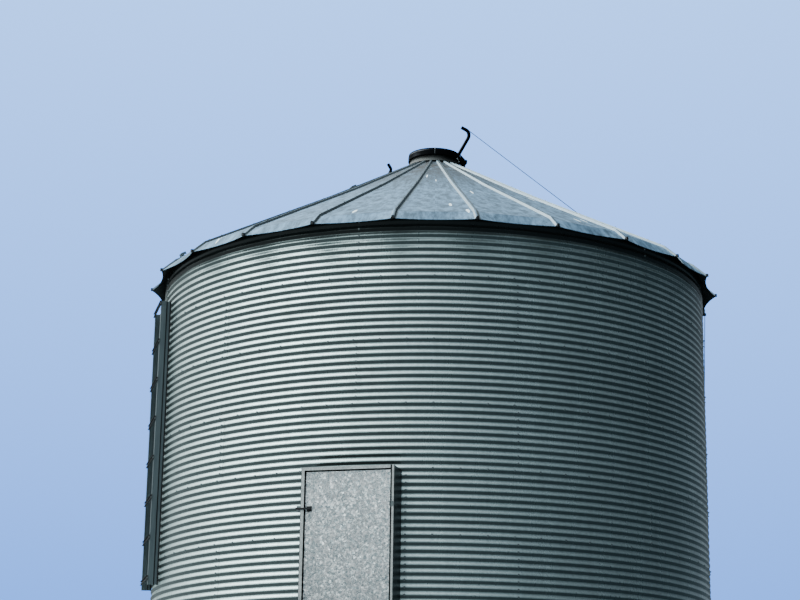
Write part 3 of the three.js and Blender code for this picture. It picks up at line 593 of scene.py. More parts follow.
def roof_steel():
    """Galvanised sheet left in the weather: a blue-grey zinc patina, matt and streaked down the slope,
    stained darker towards the peak, with short white runs of zinc salt, a painted shade line along the
    bend, and drawn lighter on the lip past the bend."""
    material, shader, tree = new_material("weathered galvanised roof sheet", 0.25, 0.7)
    shader.inputs["Specular IOR Level"].default_value = 0.25
    position = node(tree, "NewGeometry").outputs["Position"]
    axes = node(tree, "SeparateXYZ", Vector=position)
    level = node(tree, "CombineXYZ", X=axes.outputs["X"], Y=axes.outputs["Y"])
    radius = node(tree, "VectorMath", {"operation": "LENGTH"}, i0=level)
    turn = node(tree, "Math", {"operation": "ARCTAN2"}, i0=axes.outputs["X"], i1=axes.outputs["Y"])
    around = node(tree, "CombineXYZ", X=turn, Y=radius)
    clouds = node(tree, "TexNoise", Vector=position, Scale=5.0, Detail=6.0, Roughness=0.65)
    patina = node(tree, "Mix", IN_COLOUR, i0=clouds, i6=linear("#3D5467"), i7=linear("#5B768C"))
    washed = node(tree, "Mapping", Vector=around, Scale=(30, 7, 1))
    mottle = node(tree, "TexNoise", Vector=washed, Scale=1.0, Detail=4.0, Roughness=0.7)
    grain = node(tree, "MapRange", Value=mottle, i1=0.38, i2=0.62, i3=0.50, i4=1.55)
    # Lighter on the lip past the bend
    lip = node(tree, "MapRange", Value=radius, i1=BEND_RADIUS, i2=BEND_RADIUS + 0.004, i3=1.0,
               i4=LIP_LIGHTER)
    shade = node(tree, "Math", TIMES, i0=grain, i1=lip)
    toned = node(tree, "Mix", TINTED, i0=1.0, i6=patina, i7=shade)
    near_peak = node(tree, "MapRange", Value=radius, i1=0.6, i2=1.75, i3=1.0, i4=0.0)
    patches = node(tree, "MapRange", Value=clouds, i1=0.24, i2=0.50)
    soot = node(tree, "Math", TIMES, i0=near_peak, i1=patches)
    stained = node(tree, "Mix", IN_COLOUR, i0=soot, i6=toned, i7=linear("#232425"))
    # A painted shade line along the bend, where the sheet creases over the wall
    from_bend = node(tree, "Math", {"operation": "COMPARE"}, i0=radius, i1=BEND_RADIUS - 0.008, i2=0.009)
    bend_shade = node(tree, "Math", TIMES, i0=from_bend, i1=0.6)
    lined = node(tree, "Mix", IN_COLOUR, i0=bend_shade, i6=stained, i7=linear("#2B3F50"))
    drawn_out = node(tree, "Mapping", Vector=around, Scale=(20, 1.7, 1))
    runs = node(tree, "TexVoronoi", Vector=drawn_out, Scale=1.0)
    near = node(tree, "Math", {"operation": "LESS_THAN"}, i0=runs.outputs["Distance"], i1=0.12)
    pick = node(tree, "SeparateColor", Color=runs.outputs["Color"])
    few = node(tree, "Math", {"operation": "GREATER_THAN"}, i0=pick, i1=0.55)
    salt = node(tree, "Math", TIMES, i0=near, i1=few)
    colour = node(tree, "Mix", IN_COLOUR, i0=salt, i6=lined, i7=linear("#D8E2E6"))
    bump = node(tree, "Bump", Height=mottle, Strength=0.15, Distance=0.004)
    feed(shader, {"Base Color": colour, "Normal": bump})
    return material


def roof_panel(number, *steels):
    """One panel as a thin closed sheet. steels holds its weathered face, its underside, its left rib's side
    in painted shade and its right rib's side in painted highlight."""
    centre = number * 2 * HALF_GORE
    shares = [2 * i / PAN_STEPS - 1 for i in range(1, PAN_STEPS)]
    columns = [gore_column(share) for share in (-RIB_MIDDLE, -2, -1)] + [gore_column(-1, RIB_FOOT_SHADE)]
    columns += [gore_column(share) for share in (*shares, 1, 2, RIB_MIDDLE)]
    width = len(columns)
    below = len(columns[0]) * width
    vertices = []
    for drop in (0.0, SHEET_DROP):
        for row in zip(*columns):
            for x, along, z in row:
                vertices.append((along * math.sin(centre) + x * math.cos(centre),
                                 -along * math.cos(centre) + x * math.sin(centre), z - drop))
    faces = []
    for start in range(0, below - width, width):
        for a in range(start, start + width - 1):
            faces.append((a, a + width, a + width + 1, a + 1))
    top_count = len(faces)
    faces += [(below + a, below + d, below + c, below + b) for a, b, c, d in faces]
    for j in range(width - 1):
        last = below - width + j
        faces.append((j, j + 1, below + j + 1, below + j))
        faces.append((last + 1, last, below + last, below + last + 1))
    for left in range(0, below - width, width):
        right = left + width - 1
        faces.append((left, left + width, below + left + width, below + left))
        faces.append((right + width, right, below + right, below + right + width))
    made = new_object(f"roof_panel_{number + 1:02d}", vertices, faces, steels, sharp=18)
    indices = np.zeros(len(faces), dtype=np.int32)
    indices[top_count:2 * top_count] = 1
    # The left rib's top, side and foot are painted as shade, and the right rib's side as highlight
    for column, steel in ((0, 2), (1, 2), (2, 2), (width - 3, 3)):
        indices[column:top_count:width - 1] = steel
    made.data.polygons.foreach_set("material_index", indices)
    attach(made, "bin")
    return made


roof_sheet = roof_steel()
# The same sheet on its underside, painted grey-black as the shade under the roof, in patches of dust
shaded_underside = patchy_steel("shaded dusty underside of roof sheet", 0.2, 0.7, "#16181A", "#2C3032", 12.0)
# The sheet on the sides of the ribs that face away from the light: painted dark as shade, in patches
shaded_rib_side = patchy_steel("painted shade on roof rib side", 0.3, 0.7, "#1B262C", "#3A4A52", 20.0)
# The same sheet on the sides of the ribs that face the light: painted pale as highlight
lit_rib_side = patchy_steel("painted highlight on roof rib side", 0.3, 0.6, "#738490", "#9FAFB8", 14.0)
for number in range(GORES):
    panel = roof_panel(number, roof_sheet, shaded_underside, shaded_rib_side, lit_rib_side)
    if number % 2 == 0:
        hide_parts(f"roof_section_{number // 2 + 1:02d}")

# Rib ends and roof bolts
# Pressed steel clips hook over each pair of nested ribs at the eave and close their open ends. Bolts
# hold the ribs together down their length, with one where they bend over the wall.

CLIP_HALF_WIDTH = 0.018
CLIP_TOP_SHARE = 0.7
CLIP_TIP_SHARE = 0.8
CLIP_INSIDE = 0.004
CLIP_OUTSIDE = 0.021
CLIP_RISE = 0.003
CLIP_DROP = 0.003
RIB_BOLT_RADII = (0.62, 1.05, 1.48, 1.91, 2.34, 2.72, BEND_RADIUS - 0.05)
RIB_BOLT_SCALE = 0.6


def on_rib(azimuth, radius):
    """A point on the top line of the rib at an azimuth."""
    level = rib_foot(radius)
    if radius > BEND_RADIUS:
        share = (radius - BEND_RADIUS) / (TIP_RADIUS - BEND_RADIUS)
        level = BEND_HEIGHT + share * (TIP_HEIGHT - BEND_HEIGHT)
    return at(azimuth, radius, level + rib_rise(radius))


def prism_between(vertices, faces, near, far):
    """Adds a closed block between two outlines of the same number of points."""
    start = len(vertices)
    count = len(near)
    vertices.extend([*near, *far])
    band(faces, start, start + count, count)
    faces.append(tuple(range(start + count - 1, start - 1, -1)))
    faces.append(tuple(range(start + count, start + 2 * count)))


def rib_clip(vertices, faces, azimuth):
    """Adds a clip that closes one rib's end: a small folded cap pushed over its mouth."""
    half = CLIP_HALF_WIDTH
    low, high = TIP_HEIGHT - CLIP_DROP, TIP_HEIGHT + RIB_AT_TIP + CLIP_RISE
    corners = ((half * CLIP_TOP_SHARE, high), (half, low), (-half, low), (-half * CLIP_TOP_SHARE, high))
    prism_between(vertices, faces, *[
        [at(azimuth, radius, level, aside * narrow) for aside, level in corners]
        for radius, narrow in ((TIP_RADIUS - CLIP_INSIDE, 1), (TIP_RADIUS + CLIP_OUTSIDE, CLIP_TIP_SHARE))
    ])


rib_bolt_vertices, rib_bolt_faces, clip_vertices, clip_faces = [], [], [], []
for number in range(GORES):
    azimuth = (number + 0.5) * 360 / GORES
    slope = (outward(azimuth) * SLOPE_BELOW_KNEE + Vector((0, 0, 1))).normalized()
    for radius in RIB_BOLT_RADII:
        bolt_shape(rib_bolt_vertices, rib_bolt_faces, on_rib(azimuth, radius), slope, RIB_BOLT_SCALE)
    rib_clip(clip_vertices, clip_faces, azimuth)
# Bare pressed steel that has rusted and blackened where water drips off it: nearly black and dull. The
# same near-black also paints shadow, on the strip by the left jamb, the ladder's strips and the door handle
black_steel_and_shadow = patchy_steel("black pressed steel and painted shadow", 0.4, 0.6, "#101214", "#2F3033", 40.0, 4.0)
roof_bolts = new_object("roof_bolts", rib_bolt_vertices, rib_bolt_faces, [bolt_steel])
rib_clips = new_object("rib_clips", clip_vertices, clip_faces, [black_steel_and_shadow])
for piece in (roof_bolts, rib_clips):
    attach(piece, "bin")

# Peak collar and neck
# A steep flared band of galvanised sheet with a rolled edge that rests on the rib ends, round a
# straight neck that grain is filled through.

# The photograph shows the pieces of the peak 15 mm higher than the CAD has them
PEAK_LIFT = Vector((0, 0, 0.015))
COLLAR_LOW, COLLAR_HIGH = [corner + PEAK_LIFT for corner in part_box("peak_collar")]
NECK_LOW, NECK_HIGH = [corner + PEAK_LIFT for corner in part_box("peak_neck")]
NECK_RADIUS = NECK_HIGH.x
NECK_SHEET = 0.003
COLLAR_RADIUS = COLLAR_HIGH.x
COLLAR_SHEET = 0.003
COLLAR_GAP = 0.0006
COLLAR_STEPS = 6
COLLAR_FLARE = 1.4
BEAD_RADIUS = 0.0035
BEAD_TURNS = (1.2, 0.6, 0.0, -0.8, -1.57, -2.3)
LATHE_STEPS = 96
SHADED_SIDE_AZIMUTH = 75


def lathe(name, profile, material):
    """A shape turned round the bin's axis from (radius, height) points, closed on itself."""
    vertices, faces = [], []
    count = len(profile)
    for step in range(LATHE_STEPS):
        azimuth = 360 * step / LATHE_STEPS
        vertices.extend(at(azimuth, radius, level) for radius, level in profile)
        here = step * count
        ahead = (step + 1) % LATHE_STEPS * count
        for i in range(count):
            j = (i + 1) % count
            faces.append((here + i, ahead + i, ahead + j, here + j))
    return new_object(name, vertices, faces, [material], sharp=35)


def worn_collar_steel():
    """The roof's galvanised sheet, rubbed and stained brown by damp under the lid, and painted black as
    shade at its right."""
    material, shader, tree = new_material("stained galvanised collar", 0.4, 0.6)
    place = node(tree, "NewGeometry")
    damp = node(tree, "TexNoise", Vector=place.outputs["Position"], Scale=7.0, Detail=5.0)
    share = node(tree, "MapRange", Value=damp, i1=0.45, i2=0.65, i4=0.6)
    stained = node(tree, "Mix", IN_COLOUR, i0=share, i6=linear("#3C3E3D"), i7=linear("#24211E"))
    # Painted shade: black on the side that faces away from the light
    turned = node(tree, "VectorMath", DOT, i0=place.outputs["Normal"], i1=outward(SHADED_SIDE_AZIMUTH))
    painted_right_shade = node(tree, "MapRange", Value=turned, i1=0.35, i2=0.75, i4=0.95)
    colour = node(tree, "Mix", IN_COLOUR, i0=painted_right_shade, i6=stained, i7=linear("#08090A"))
    feed(shader, {"Base Color": colour})
    return material


def flared_skirt():
    """The collar's section: near upright at the neck, flared below, with a round bead at its edge."""
    reach = COLLAR_RADIUS - NECK_RADIUS - COLLAR_GAP - 2 * BEAD_RADIUS
    rise = COLLAR_HIGH.z - COLLAR_LOW.z - 2 * BEAD_RADIUS
    shares = [i / COLLAR_STEPS for i in range(COLLAR_STEPS + 1)]
    skin = [(NECK_RADIUS + COLLAR_GAP + COLLAR_SHEET + (reach - COLLAR_SHEET) * share ** COLLAR_FLARE,
             COLLAR_HIGH.z - rise * share) for share in shares]
    bead = [(COLLAR_RADIUS - BEAD_RADIUS + BEAD_RADIUS * math.cos(turn),
             COLLAR_LOW.z + BEAD_RADIUS + BEAD_RADIUS * math.sin(turn)) for turn in BEAD_TURNS]
    inside = [(radius - COLLAR_SHEET, level) for radius, level in reversed(skin)]
    return skin + bead + inside


collar_steel = worn_collar_steel()
collar = lathe("collar_cone", flared_skirt(), collar_steel)
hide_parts("peak_collar")
neck = lathe("collar_neck", (
    (NECK_RADIUS, NECK_LOW.z),
    (NECK_RADIUS, NECK_HIGH.z - 0.002),
    (NECK_RADIUS - 0.001, NECK_HIGH.z),
    (NECK_RADIUS - 0.005, NECK_HIGH.z),
    (NECK_RADIUS - 0.006, NECK_HIGH.z - 0.002),
    (NECK_RADIUS - NECK_SHEET, NECK_LOW.z),
), black_steel_and_shadow)
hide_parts("peak_neck")
for piece in (collar, neck):
    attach(piece, "bin")

# Lid
# A pressed steel cap with a rolled rim, painted black, with a painted highlight in grey on its left front
# shoulder. A seam runs down its rim, and a lug on its right turns on the bracket's pin.

LID_LOW, LID_HIGH = [corner + PEAK_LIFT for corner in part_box("peak_lid")]
# The photograph shows the lid 6 mm larger in radius than the CAD has it
LID_RADIUS = 0.006 - LID_LOW.x
LID_RIM_LOW = LID_LOW.z
LID_CREST = LID_HIGH.z
LID_SHEET = 0.006
SEAM_AZIMUTH = 0.6
SEAM_HALF_WIDTH = 0.002
PIVOT = Vector((0.350, 0, 5.835))
KNUCKLE_RADIUS = 0.012
LUG_HALF_WIDTH = 0.020
HIGHLIGHT_FACING = outward(-45) * 0.75 + Vector((0, 0, 0.66))


def black_paint():
    """Black enamel on pressed steel, dull, with a painted highlight in mottled grey wherever it faces up
    and to the front left, as on the lid's shoulder.
    """
    material, shader, tree = new_material("black enamel with painted highlight", 0.0, 0.8)
    shader.inputs["Specular IOR Level"].default_value = 0.04
    place = node(tree, "NewGeometry")
    highlight_mottle = node(tree, "TexNoise", Vector=place.outputs["Position"], Scale=18.0, Detail=5.0)
    # Painted highlight: grey where the surface faces up and to the front left
    facing = node(tree, "VectorMath", DOT, i0=place.outputs["Normal"], i1=HIGHLIGHT_FACING)
    share = node(tree, "MapRange", Value=facing, i1=0.80, i2=0.97, i4=2.0)
    painted_highlight = node(tree, "Math", TIMES, i0=share, i1=highlight_mottle)
    colour = node(tree, "Mix", IN_COLOUR, i0=painted_highlight, i6=linear("#040508"), i7=linear("#6E6F75"))
    feed(shader, {"Base Color": colour})
    return material


enamel = black_paint()
lid_cap = lathe("lid_cap", (
    (0.0005, LID_CREST),
    (0.12, LID_CREST - 0.0056),
    (0.23, LID_CREST - 0.0107),
    (LID_RADIUS - 0.030, LID_CREST - 0.0130),
    (LID_RADIUS - 0.018, LID_CREST - 0.0175),
    (LID_RADIUS - 0.009, LID_CREST - 0.0265),
    (LID_RADIUS - 0.003, LID_CREST - 0.0400),
    (LID_RADIUS - 0.001, LID_CREST - 0.0500),
    (LID_RADIUS - 0.001, LID_RIM_LOW + 0.014),
    (LID_RADIUS, LID_RIM_LOW + 0.010),
    (LID_RADIUS, LID_RIM_LOW + 0.003),
    (LID_RADIUS - 0.003, LID_RIM_LOW),
    (LID_RADIUS - LID_SHEET, LID_RIM_LOW + 0.004),
    (LID_RADIUS - LID_SHEET, LID_CREST - 0.0205),
    (LID_RADIUS - 0.030, LID_CREST - 0.0190),
    (0.0005, LID_CREST - LID_SHEET),
), enamel)
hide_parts("peak_lid")


def tube(name, points, radius, material, sides=12):
    """A round bar along a list of points, with flat ends."""
    vertices, faces = [], []
    points = [Vector(point) for point in points]
    normal = None
    for i, point in enumerate(points):
        before = points[max(0, i - 1)]
        after = points[min(len(points) - 1, i + 1)]
        ahead = (after - before).normalized()
        if normal is None:
            normal = ahead.orthogonal().normalized()
        normal = (normal - ahead * normal.dot(ahead)).normalized()
        other = ahead.cross(normal)
        for k in range(sides):
            turn = 2 * math.pi * k / sides
            vertices.append(point + (normal * math.cos(turn) + other * math.sin(turn)) * radius)
    for i in range(len(points) - 1):
        band(faces, i * sides, (i + 1) * sides, sides)
    faces.append(tuple(reversed(range(sides))))
    faces.append(tuple(range(len(vertices) - sides, len(vertices))))
    return new_object(name, vertices, faces, [material], sharp=50)


def rounded(points, radius, steps=6):
    """The route through points with each corner rounded, as a list of points."""
    points = [Vector(point) for point in points]
    route = [points[0]]
    for before, corner, after in zip(points, points[1:], points[2:]):
        start = corner + (before - corner).normalized() * radius
        end = corner + (after - corner).normalized() * radius
        for step in range(steps + 1):
            share = step / steps
            route.append(start.lerp(corner, share).lerp(corner.lerp(end, share), share))
    route.append(points[-1])
    return route


def block(name, near, far, material):
    """A closed block between two outlines of the same number of points."""
    vertices, faces = [], []
    prism_between(vertices, faces, near, far)
    return new_object(name, vertices, faces, [material])


def seam_strip():
    """The lap in the lid's rim: a narrow strip of bare metal where the enamel has cracked away."""
    # Bare steel, rubbed smooth: a pale even grey line
    material, shader, _ = new_material("bare metal lap", 0.9, 0.4)
    shader.inputs["Base Color"].default_value = linear("#9AA0A2")
    profile = (
        (LID_RADIUS + 0.0002, LID_RIM_LOW + 0.012),
        (LID_RADIUS + 0.0002, LID_CREST - 0.034),
        (LID_RADIUS - 0.011, LID_CREST - 0.0155),
        (LID_RADIUS - 0.030, LID_CREST - 0.0125),
    )
    vertices = [at(SEAM_AZIMUTH, out, level, side * SEAM_HALF_WIDTH) for out, level in profile
                for side in (-1, 1)]
    return new_object("lid_seam", vertices, [(0, 1, 3, 2), (2, 3, 5, 4), (4, 5, 7, 6)], [material])


pin_ends = [PIVOT + Vector((0, y, 0)) for y in (-LUG_HALF_WIDTH, LUG_HALF_WIDTH)]
knuckle = tube("lid_knuckle", pin_ends, KNUCKLE_RADIUS, enamel, 20)
lug_outline = (
    (LID_RADIUS - 0.002, PIVOT.z - 0.006),
    (PIVOT.x - 0.004, PIVOT.z - 0.006),
    (PIVOT.x + 0.006, PIVOT.z + 0.008),
    (LID_RADIUS + 0.002, LID_HIGH.z - 0.006),
    (LID_RADIUS - 0.005, LID_HIGH.z - 0.009),
)
lug_sides = [[Vector((x, y, z)) for x, z in lug_outline] for y in (-LUG_HALF_WIDTH, LUG_HALF_WIDTH)]
lug = block("lid_lug", *lug_sides, enamel)
for piece in (lid_cap, seam_strip(), knuckle, lug):
    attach(piece, "lid")

# Lid lever
# A round steel bar, bent at the top like a walking stick, welded to a small foot plate on the lid. The
# pull wire is tied at the right of its bend.

LEVER_RADIUS = 0.020
LEVER_ROUTE = ((0.264, 0, 5.910), (0.388, 0, 6.140), (0.378, 0, 6.201), (0.301, 0, 6.245))
LEVER_BENDS = 0.030
LEVER_FOOT_LOW = (0.205, -0.024, LID_CREST - 0.0125)
LEVER_FOOT_HIGH = (0.272, 0.024, LID_CREST - 0.0045)
FOOT_BEVEL = 0.002


def foot_plate(name, low, high, material):
    """A plate with softened edges."""
    vertices = [(x, y, z) for x in (low[0], high[0]) for y in (low[1], high[1]) for z in (low[2], high[2])]
    faces = [(0, 1, 3, 2), (4, 6, 7, 5), (0, 4, 5, 1), (2, 3, 7, 6), (0, 2, 6, 4), (1, 5, 7, 3)]
    made = new_object(name, vertices, faces, [material])
    soft = made.modifiers.new("softened edges", "BEVEL")
    soft.width = FOOT_BEVEL
    soft.segments = 2
    return made


lever_bar = tube("lever_bar", rounded(LEVER_ROUTE, LEVER_BENDS), LEVER_RADIUS, enamel, 14)
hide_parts("lid_lever")
lever_foot = foot_plate("lever_foot", LEVER_FOOT_LOW, LEVER_FOOT_HIGH, enamel)
for piece in (lever_bar, lever_foot):
    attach(piece, "lid")

# Hinge bracket
# Folded from plate: two ears with round holes and the pin between them, on a base that stands on a thick
# foot at the collar's right. Two bolts hold the collar beside it.

FOOT_INNER = 0.288
FOOT_OUTER = 0.346
FOOT_HALF_WIDTH = 0.030
FOOT_LEVELS = (LID_RIM_LOW - 0.045, LID_RIM_LOW - 0.006)
COLLAR_BOLT_RADIUS = 0.304
COLLAR_BOLT_SCALE = 0.9
COLLAR_BOLTS = ((57, 5.808), (62, 5.783))


def dress(material, *nodes):
    """Gives CAD nodes whose shape is right their finish."""
    for name in nodes:
        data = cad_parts[name].data
        data.materials.clear()
        data.materials.append(material)


dress(enamel, "lid_hinge_bracket")
foot_outline = (
    (FOOT_INNER, -FOOT_HALF_WIDTH),
    (FOOT_OUTER, -FOOT_HALF_WIDTH),
    (FOOT_OUTER, FOOT_HALF_WIDTH),
    (FOOT_INNER, FOOT_HALF_WIDTH),
)
foot_ends = [[Vector((x, y, level)) for x, y in foot_outline] for level in FOOT_LEVELS]
bracket_foot = block("bracket_foot", *foot_ends, enamel)
bracket_bolt_vertices, bracket_bolt_faces = [], []
for azimuth, level in COLLAR_BOLTS:
    bolt_shape(bracket_bolt_vertices, bracket_bolt_faces, at(azimuth, COLLAR_BOLT_RADIUS, level),
               outward(azimuth), COLLAR_BOLT_SCALE)
bracket_bolts = new_object("bracket_bolts", bracket_bolt_vertices, bracket_bolt_faces, [bolt_steel])
for piece in (bracket_foot, bracket_bolts):
    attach(piece, "bin")

# Door frame
# A box of folded galvanised sheet that carries the flat door out from the round wall: two jambs, a
# head and a sill, paler than the wall, with sides that reach in through the doorway, painted black as
# shade. A near-black strip stands for the shadow between the left jamb and the wall.

ALONG_DOOR = outward(DOOR_AZIMUTH + 90)
OUT_OF_DOOR = outward(DOOR_AZIMUTH)
FRAME_FACE = 3.138
FRAME_REACH = 0.435
FACE_MARGIN = 0.003
REACH_MARGIN = 0.004
HINGE_GAP_ACROSS = 0.409
HINGE_GAP_HALF = 0.007
# A near-black strip beside the left jamb is painted shadow between the jamb and the wall
JAMB_SHADOW_WIDTH = 0.010
JAMB_SHADOW_LAP = 0.001
JAMB_SHADOW_BACK = CREST_RADIUS - 0.020
JAMB_SHADOW_FACE = 3.120
JAMB_SHADOW_LEVELS = (0.010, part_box("door_head")[1].z - 0.004)


def frame_steel():
    """Folded galvanised sheet, still bright: fine spangle, a little grime, a right side in painted shade,
    and painted black shade in the recesses round the leaf and in the gap beside its hinges."""
    material, shader, tree = new_material("folded galvanised frame sheet", 0.85, 0.34)
    place = node(tree, "NewGeometry")
    position = place.outputs["Position"]
    spangle = node(tree, "TexVoronoi", Vector=position, Scale=90.0)
    grain = node(tree, "SeparateColor", Color=spangle.outputs["Color"])
    bright = node(tree, "Mix", IN_COLOUR, i0=grain, i6=linear("#CBD2D3"), i7=linear("#F0F4F4"))
    film = node(tree, "TexNoise", Vector=position, Scale=9.0, Detail=4.0)
    dirt = node(tree, "MapRange", Value=film, i1=0.5, i2=0.75, i4=0.35)
    grimy = node(tree, "Mix", IN_COLOUR, i0=dirt, i6=bright, i7=linear("#5F686A"))
    # Painted shade on the right sides, which face away from the light
    turned = node(tree, "VectorMath", DOT, i0=place.outputs["Normal"], i1=ALONG_DOOR)
    painted_side_shade = node(tree, "MapRange", Value=turned, i1=0.5, i2=0.9, i4=0.9)
    grimy_and_side_shaded = node(tree, "Mix", IN_COLOUR, i0=painted_side_shade, i6=grimy, i7=linear("#2E3538"))
    # Painted black shade inside the frame's recesses and in the gap beside the hinges
    out = node(tree, "VectorMath", DOT, i0=position, i1=OUT_OF_DOOR)
    aside = node(tree, "VectorMath", DOT, i0=position, i1=ALONG_DOOR)
    reach = node(tree, "Math", {"operation": "ABSOLUTE"}, i0=aside)
    deep = node(tree, "Math", {"operation": "LESS_THAN"}, i0=out, i1=FRAME_FACE - FACE_MARGIN)
    within = node(tree, "Math", {"operation": "LESS_THAN"}, i0=reach, i1=FRAME_REACH - REACH_MARGIN)
    rebate = node(tree, "Math", TIMES, i0=deep, i1=within)
    gap = node(tree, "Math", {"operation": "COMPARE"}, i0=aside, i1=HINGE_GAP_ACROSS, i2=HINGE_GAP_HALF)
    black = node(tree, "Math", {"operation": "MAXIMUM"}, i0=rebate, i1=gap)
    colour = node(tree, "Mix", IN_COLOUR, i0=black, i6=grimy_and_side_shaded, i7=linear("#0E1011"))
    feed(shader, {"Base Color": colour})
    return material


dress(frame_steel(), "door_jamb_left", "door_jamb_right", "door_head", "door_sill")
jamb_shadow_outline = (
    (-FRAME_REACH - JAMB_SHADOW_WIDTH, JAMB_SHADOW_BACK),
    (-FRAME_REACH - JAMB_SHADOW_WIDTH, JAMB_SHADOW_FACE),
    (-FRAME_REACH + JAMB_SHADOW_LAP, JAMB_SHADOW_FACE),
    (-FRAME_REACH + JAMB_SHADOW_LAP, JAMB_SHADOW_BACK),
)
jamb_shadow_ends = [
    [at(DOOR_AZIMUTH, out, level, across) for across, out in jamb_shadow_outline] for level in JAMB_SHADOW_LEVELS
]
jamb_shadow_strip = block("jamb_shadow_strip", *jamb_shadow_ends, black_steel_and_shadow)
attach(jamb_shadow_strip, "bin")

# Door leaf
# One flat pan of galvanised sheet with a bold spangle, hung on its right edge and drawn darker
# towards its foot.

SPANGLE_SIZE = 0.019
FINE_SPANGLE = 2.2
CRYSTAL_LEAN = 0.5


def spangled_steel():
    """Hot-dip galvanised flat sheet with open spangle: crystals of zinc that each lean their own way, so
    that the sheet is mottled in greys with bright specks. They are drawn 19 mm across, half as large
    again as real ones, so that they show."""
    material, shader, tree = new_material("spangled galvanised sheet", 0.55, 0.34)
    place = node(tree, "NewGeometry")
    position = place.outputs["Position"]
    cells = node(tree, "TexVoronoi", Vector=position, Scale=1 / SPANGLE_SIZE)
    fine = node(tree, "TexVoronoi", Vector=position, Scale=FINE_SPANGLE / SPANGLE_SIZE)
    large = node(tree, "SeparateColor", Color=cells.outputs["Color"])
    small = node(tree, "SeparateColor", Color=fine.outputs["Color"]).outputs["Green"]
    both = node(tree, "Math", {"operation": "ADD"}, i0=large, i1=small)
    tone = node(tree, "MapRange", Value=both, i1=0.6, i2=1.3)
    zinc = node(tree, "Mix", IN_COLOUR, i0=tone, i6=linear("#98A5AA"), i7=linear("#FFFFFF"))
    clouds = node(tree, "TexNoise", Vector=position, Scale=3.5, Detail=4.0)
    cloudy = node(tree, "MapRange", Value=clouds, i1=0.3, i2=0.7, i3=0.90, i4=1.06)
    level = node(tree, "SeparateXYZ", Vector=position).outputs["Z"]
    # Darker towards the foot and lighter towards the top
    darker_low = node(tree, "MapRange", Value=level, i1=0.6, i2=1.8, i3=0.84, i4=1.30)
    shade = node(tree, "Math", TIMES, i0=cloudy, i1=darker_low)
    colour = node(tree, "Mix", TINTED, i0=1.0, i6=zinc, i7=shade)
    gloss = node(tree, "MapRange", Value=tone, i3=0.40, i4=0.28)
    lean = node(tree, "VectorMath", {"operation": "MULTIPLY_ADD"}, i0=cells.outputs["Color"],
                i1=(CRYSTAL_LEAN,) * 3, i2=(-CRYSTAL_LEAN / 2,) * 3)
    leaning = node(tree, "VectorMath", {"operation": "ADD"}, i0=place.outputs["Normal"], i1=lean)
    facet = node(tree, "VectorMath", {"operation": "NORMALIZE"}, i0=leaning)
    feed(shader, {"Base Color": colour, "Roughness": gloss, "Normal": facet})
    return material


dress(spangled_steel(), "door_leaf")

# Hinges, handle and catch
# Plain strap hinges in front of the right jamb, and a flat steel handle that swings over the left jamb.

# Galvanised steel gone dull: a middle grey under a dark film of dirt
dull_steel = patchy_steel("dull galvanised fittings", 0.85, 0.5, "#667073", "#8F989A", 55.0, 4.0)
dress(dull_steel, "door_hinge_upper", "door_hinge_lower", "door_catch")
# The handle is drawn near-black as painted shadow, for the dark shadow it casts on the leaf
dress(black_steel_and_shadow, "door_handle")

# Ladder
# Two deep channel rails of dull galvanised steel and eight channel rungs gone black. Each rail is bolted
# to an angle on the wall's crests, with a near-black strip of painted shadow in the joint and another
# along the wall at the angle's edge, and each rung to the rails with two bolts.

LADDER_AZIMUTH = -75.33
RAIL_ACROSS = 0.285
RAIL_FACE = 2.995
RAIL_BACK = 2.942
RAIL_SHEET = 0.003
RAIL_FLANGE = 0.040
RAIL_ENDS = (0.975, 3.908)
STRIP_BACK = 2.928
ANGLE_BACK = 2.896
ANGLE_SET_BACK = 0.010
RUNG_COUNT = 8
RUNG_PITCH = 0.4064
LOWEST_RUNG = 1.045
RUNG_HEIGHT = 0.040
RUNG_LIP = 3.011
RUNG_HALF_LENGTH = 0.292
RUNG_BOLT_ACROSS = 0.264
RUNG_BOLT_OUT = RAIL_FACE + 0.002
# The painted shadow along the wall at each angle's edge reaches this far to each side
WALL_SHADOW_WIDTH = 0.009


def ladder_steel():
    """Heavy galvanised channel, dull blue-grey, with dark runs below the rungs."""
    material, shader, tree = new_material("dull galvanised channel", 0.7, 0.45)
    position = node(tree, "NewGeometry").outputs["Position"]
    stretched = node(tree, "Mapping", Vector=position, Scale=(30.0, 30.0, 2.5))
    runs = node(tree, "TexNoise", Vector=stretched, Scale=1.0, Detail=4.0)
    colour = node(tree, "Mix", IN_COLOUR, i0=runs, i6=linear("#5A666B"), i7=linear("#8E999D"))
    feed(shader, {"Base Color": colour})
    return material


def upright(vertices, faces, section, side):
    """Adds a bar as long as the rails. section holds (across, out) points and is mirrored for side -1."""
    points = section if side < 0 else section[::-1]
    prism_between(vertices, faces, *[
        [at(LADDER_AZIMUTH, out, level, side * across) for across, out in points] for level in RAIL_ENDS
    ])


def ladder_bars():
    """The rails and the angles behind them, as one piece."""
    vertices, faces = [], []
    inner = RAIL_ACROSS - RAIL_FLANGE
    web = RAIL_ACROSS - RAIL_SHEET
    front = RAIL_FACE - RAIL_SHEET
    back = RAIL_BACK + RAIL_SHEET
    channel = ((RAIL_ACROSS, RAIL_BACK), (RAIL_ACROSS, RAIL_FACE), (inner, RAIL_FACE), (inner, front),
               (web, front), (web, back), (inner, back), (inner, RAIL_BACK))
    outer = RAIL_ACROSS - ANGLE_SET_BACK
    leg = STRIP_BACK - RAIL_SHEET
    angle = ((outer, ANGLE_BACK), (outer, STRIP_BACK), (inner, STRIP_BACK), (inner, leg),
             (outer - RAIL_SHEET, leg), (outer - RAIL_SHEET, ANGLE_BACK))
    for side in (-1, 1):
        upright(vertices, faces, channel, side)
        upright(vertices, faces, angle, side)
    return vertices, faces


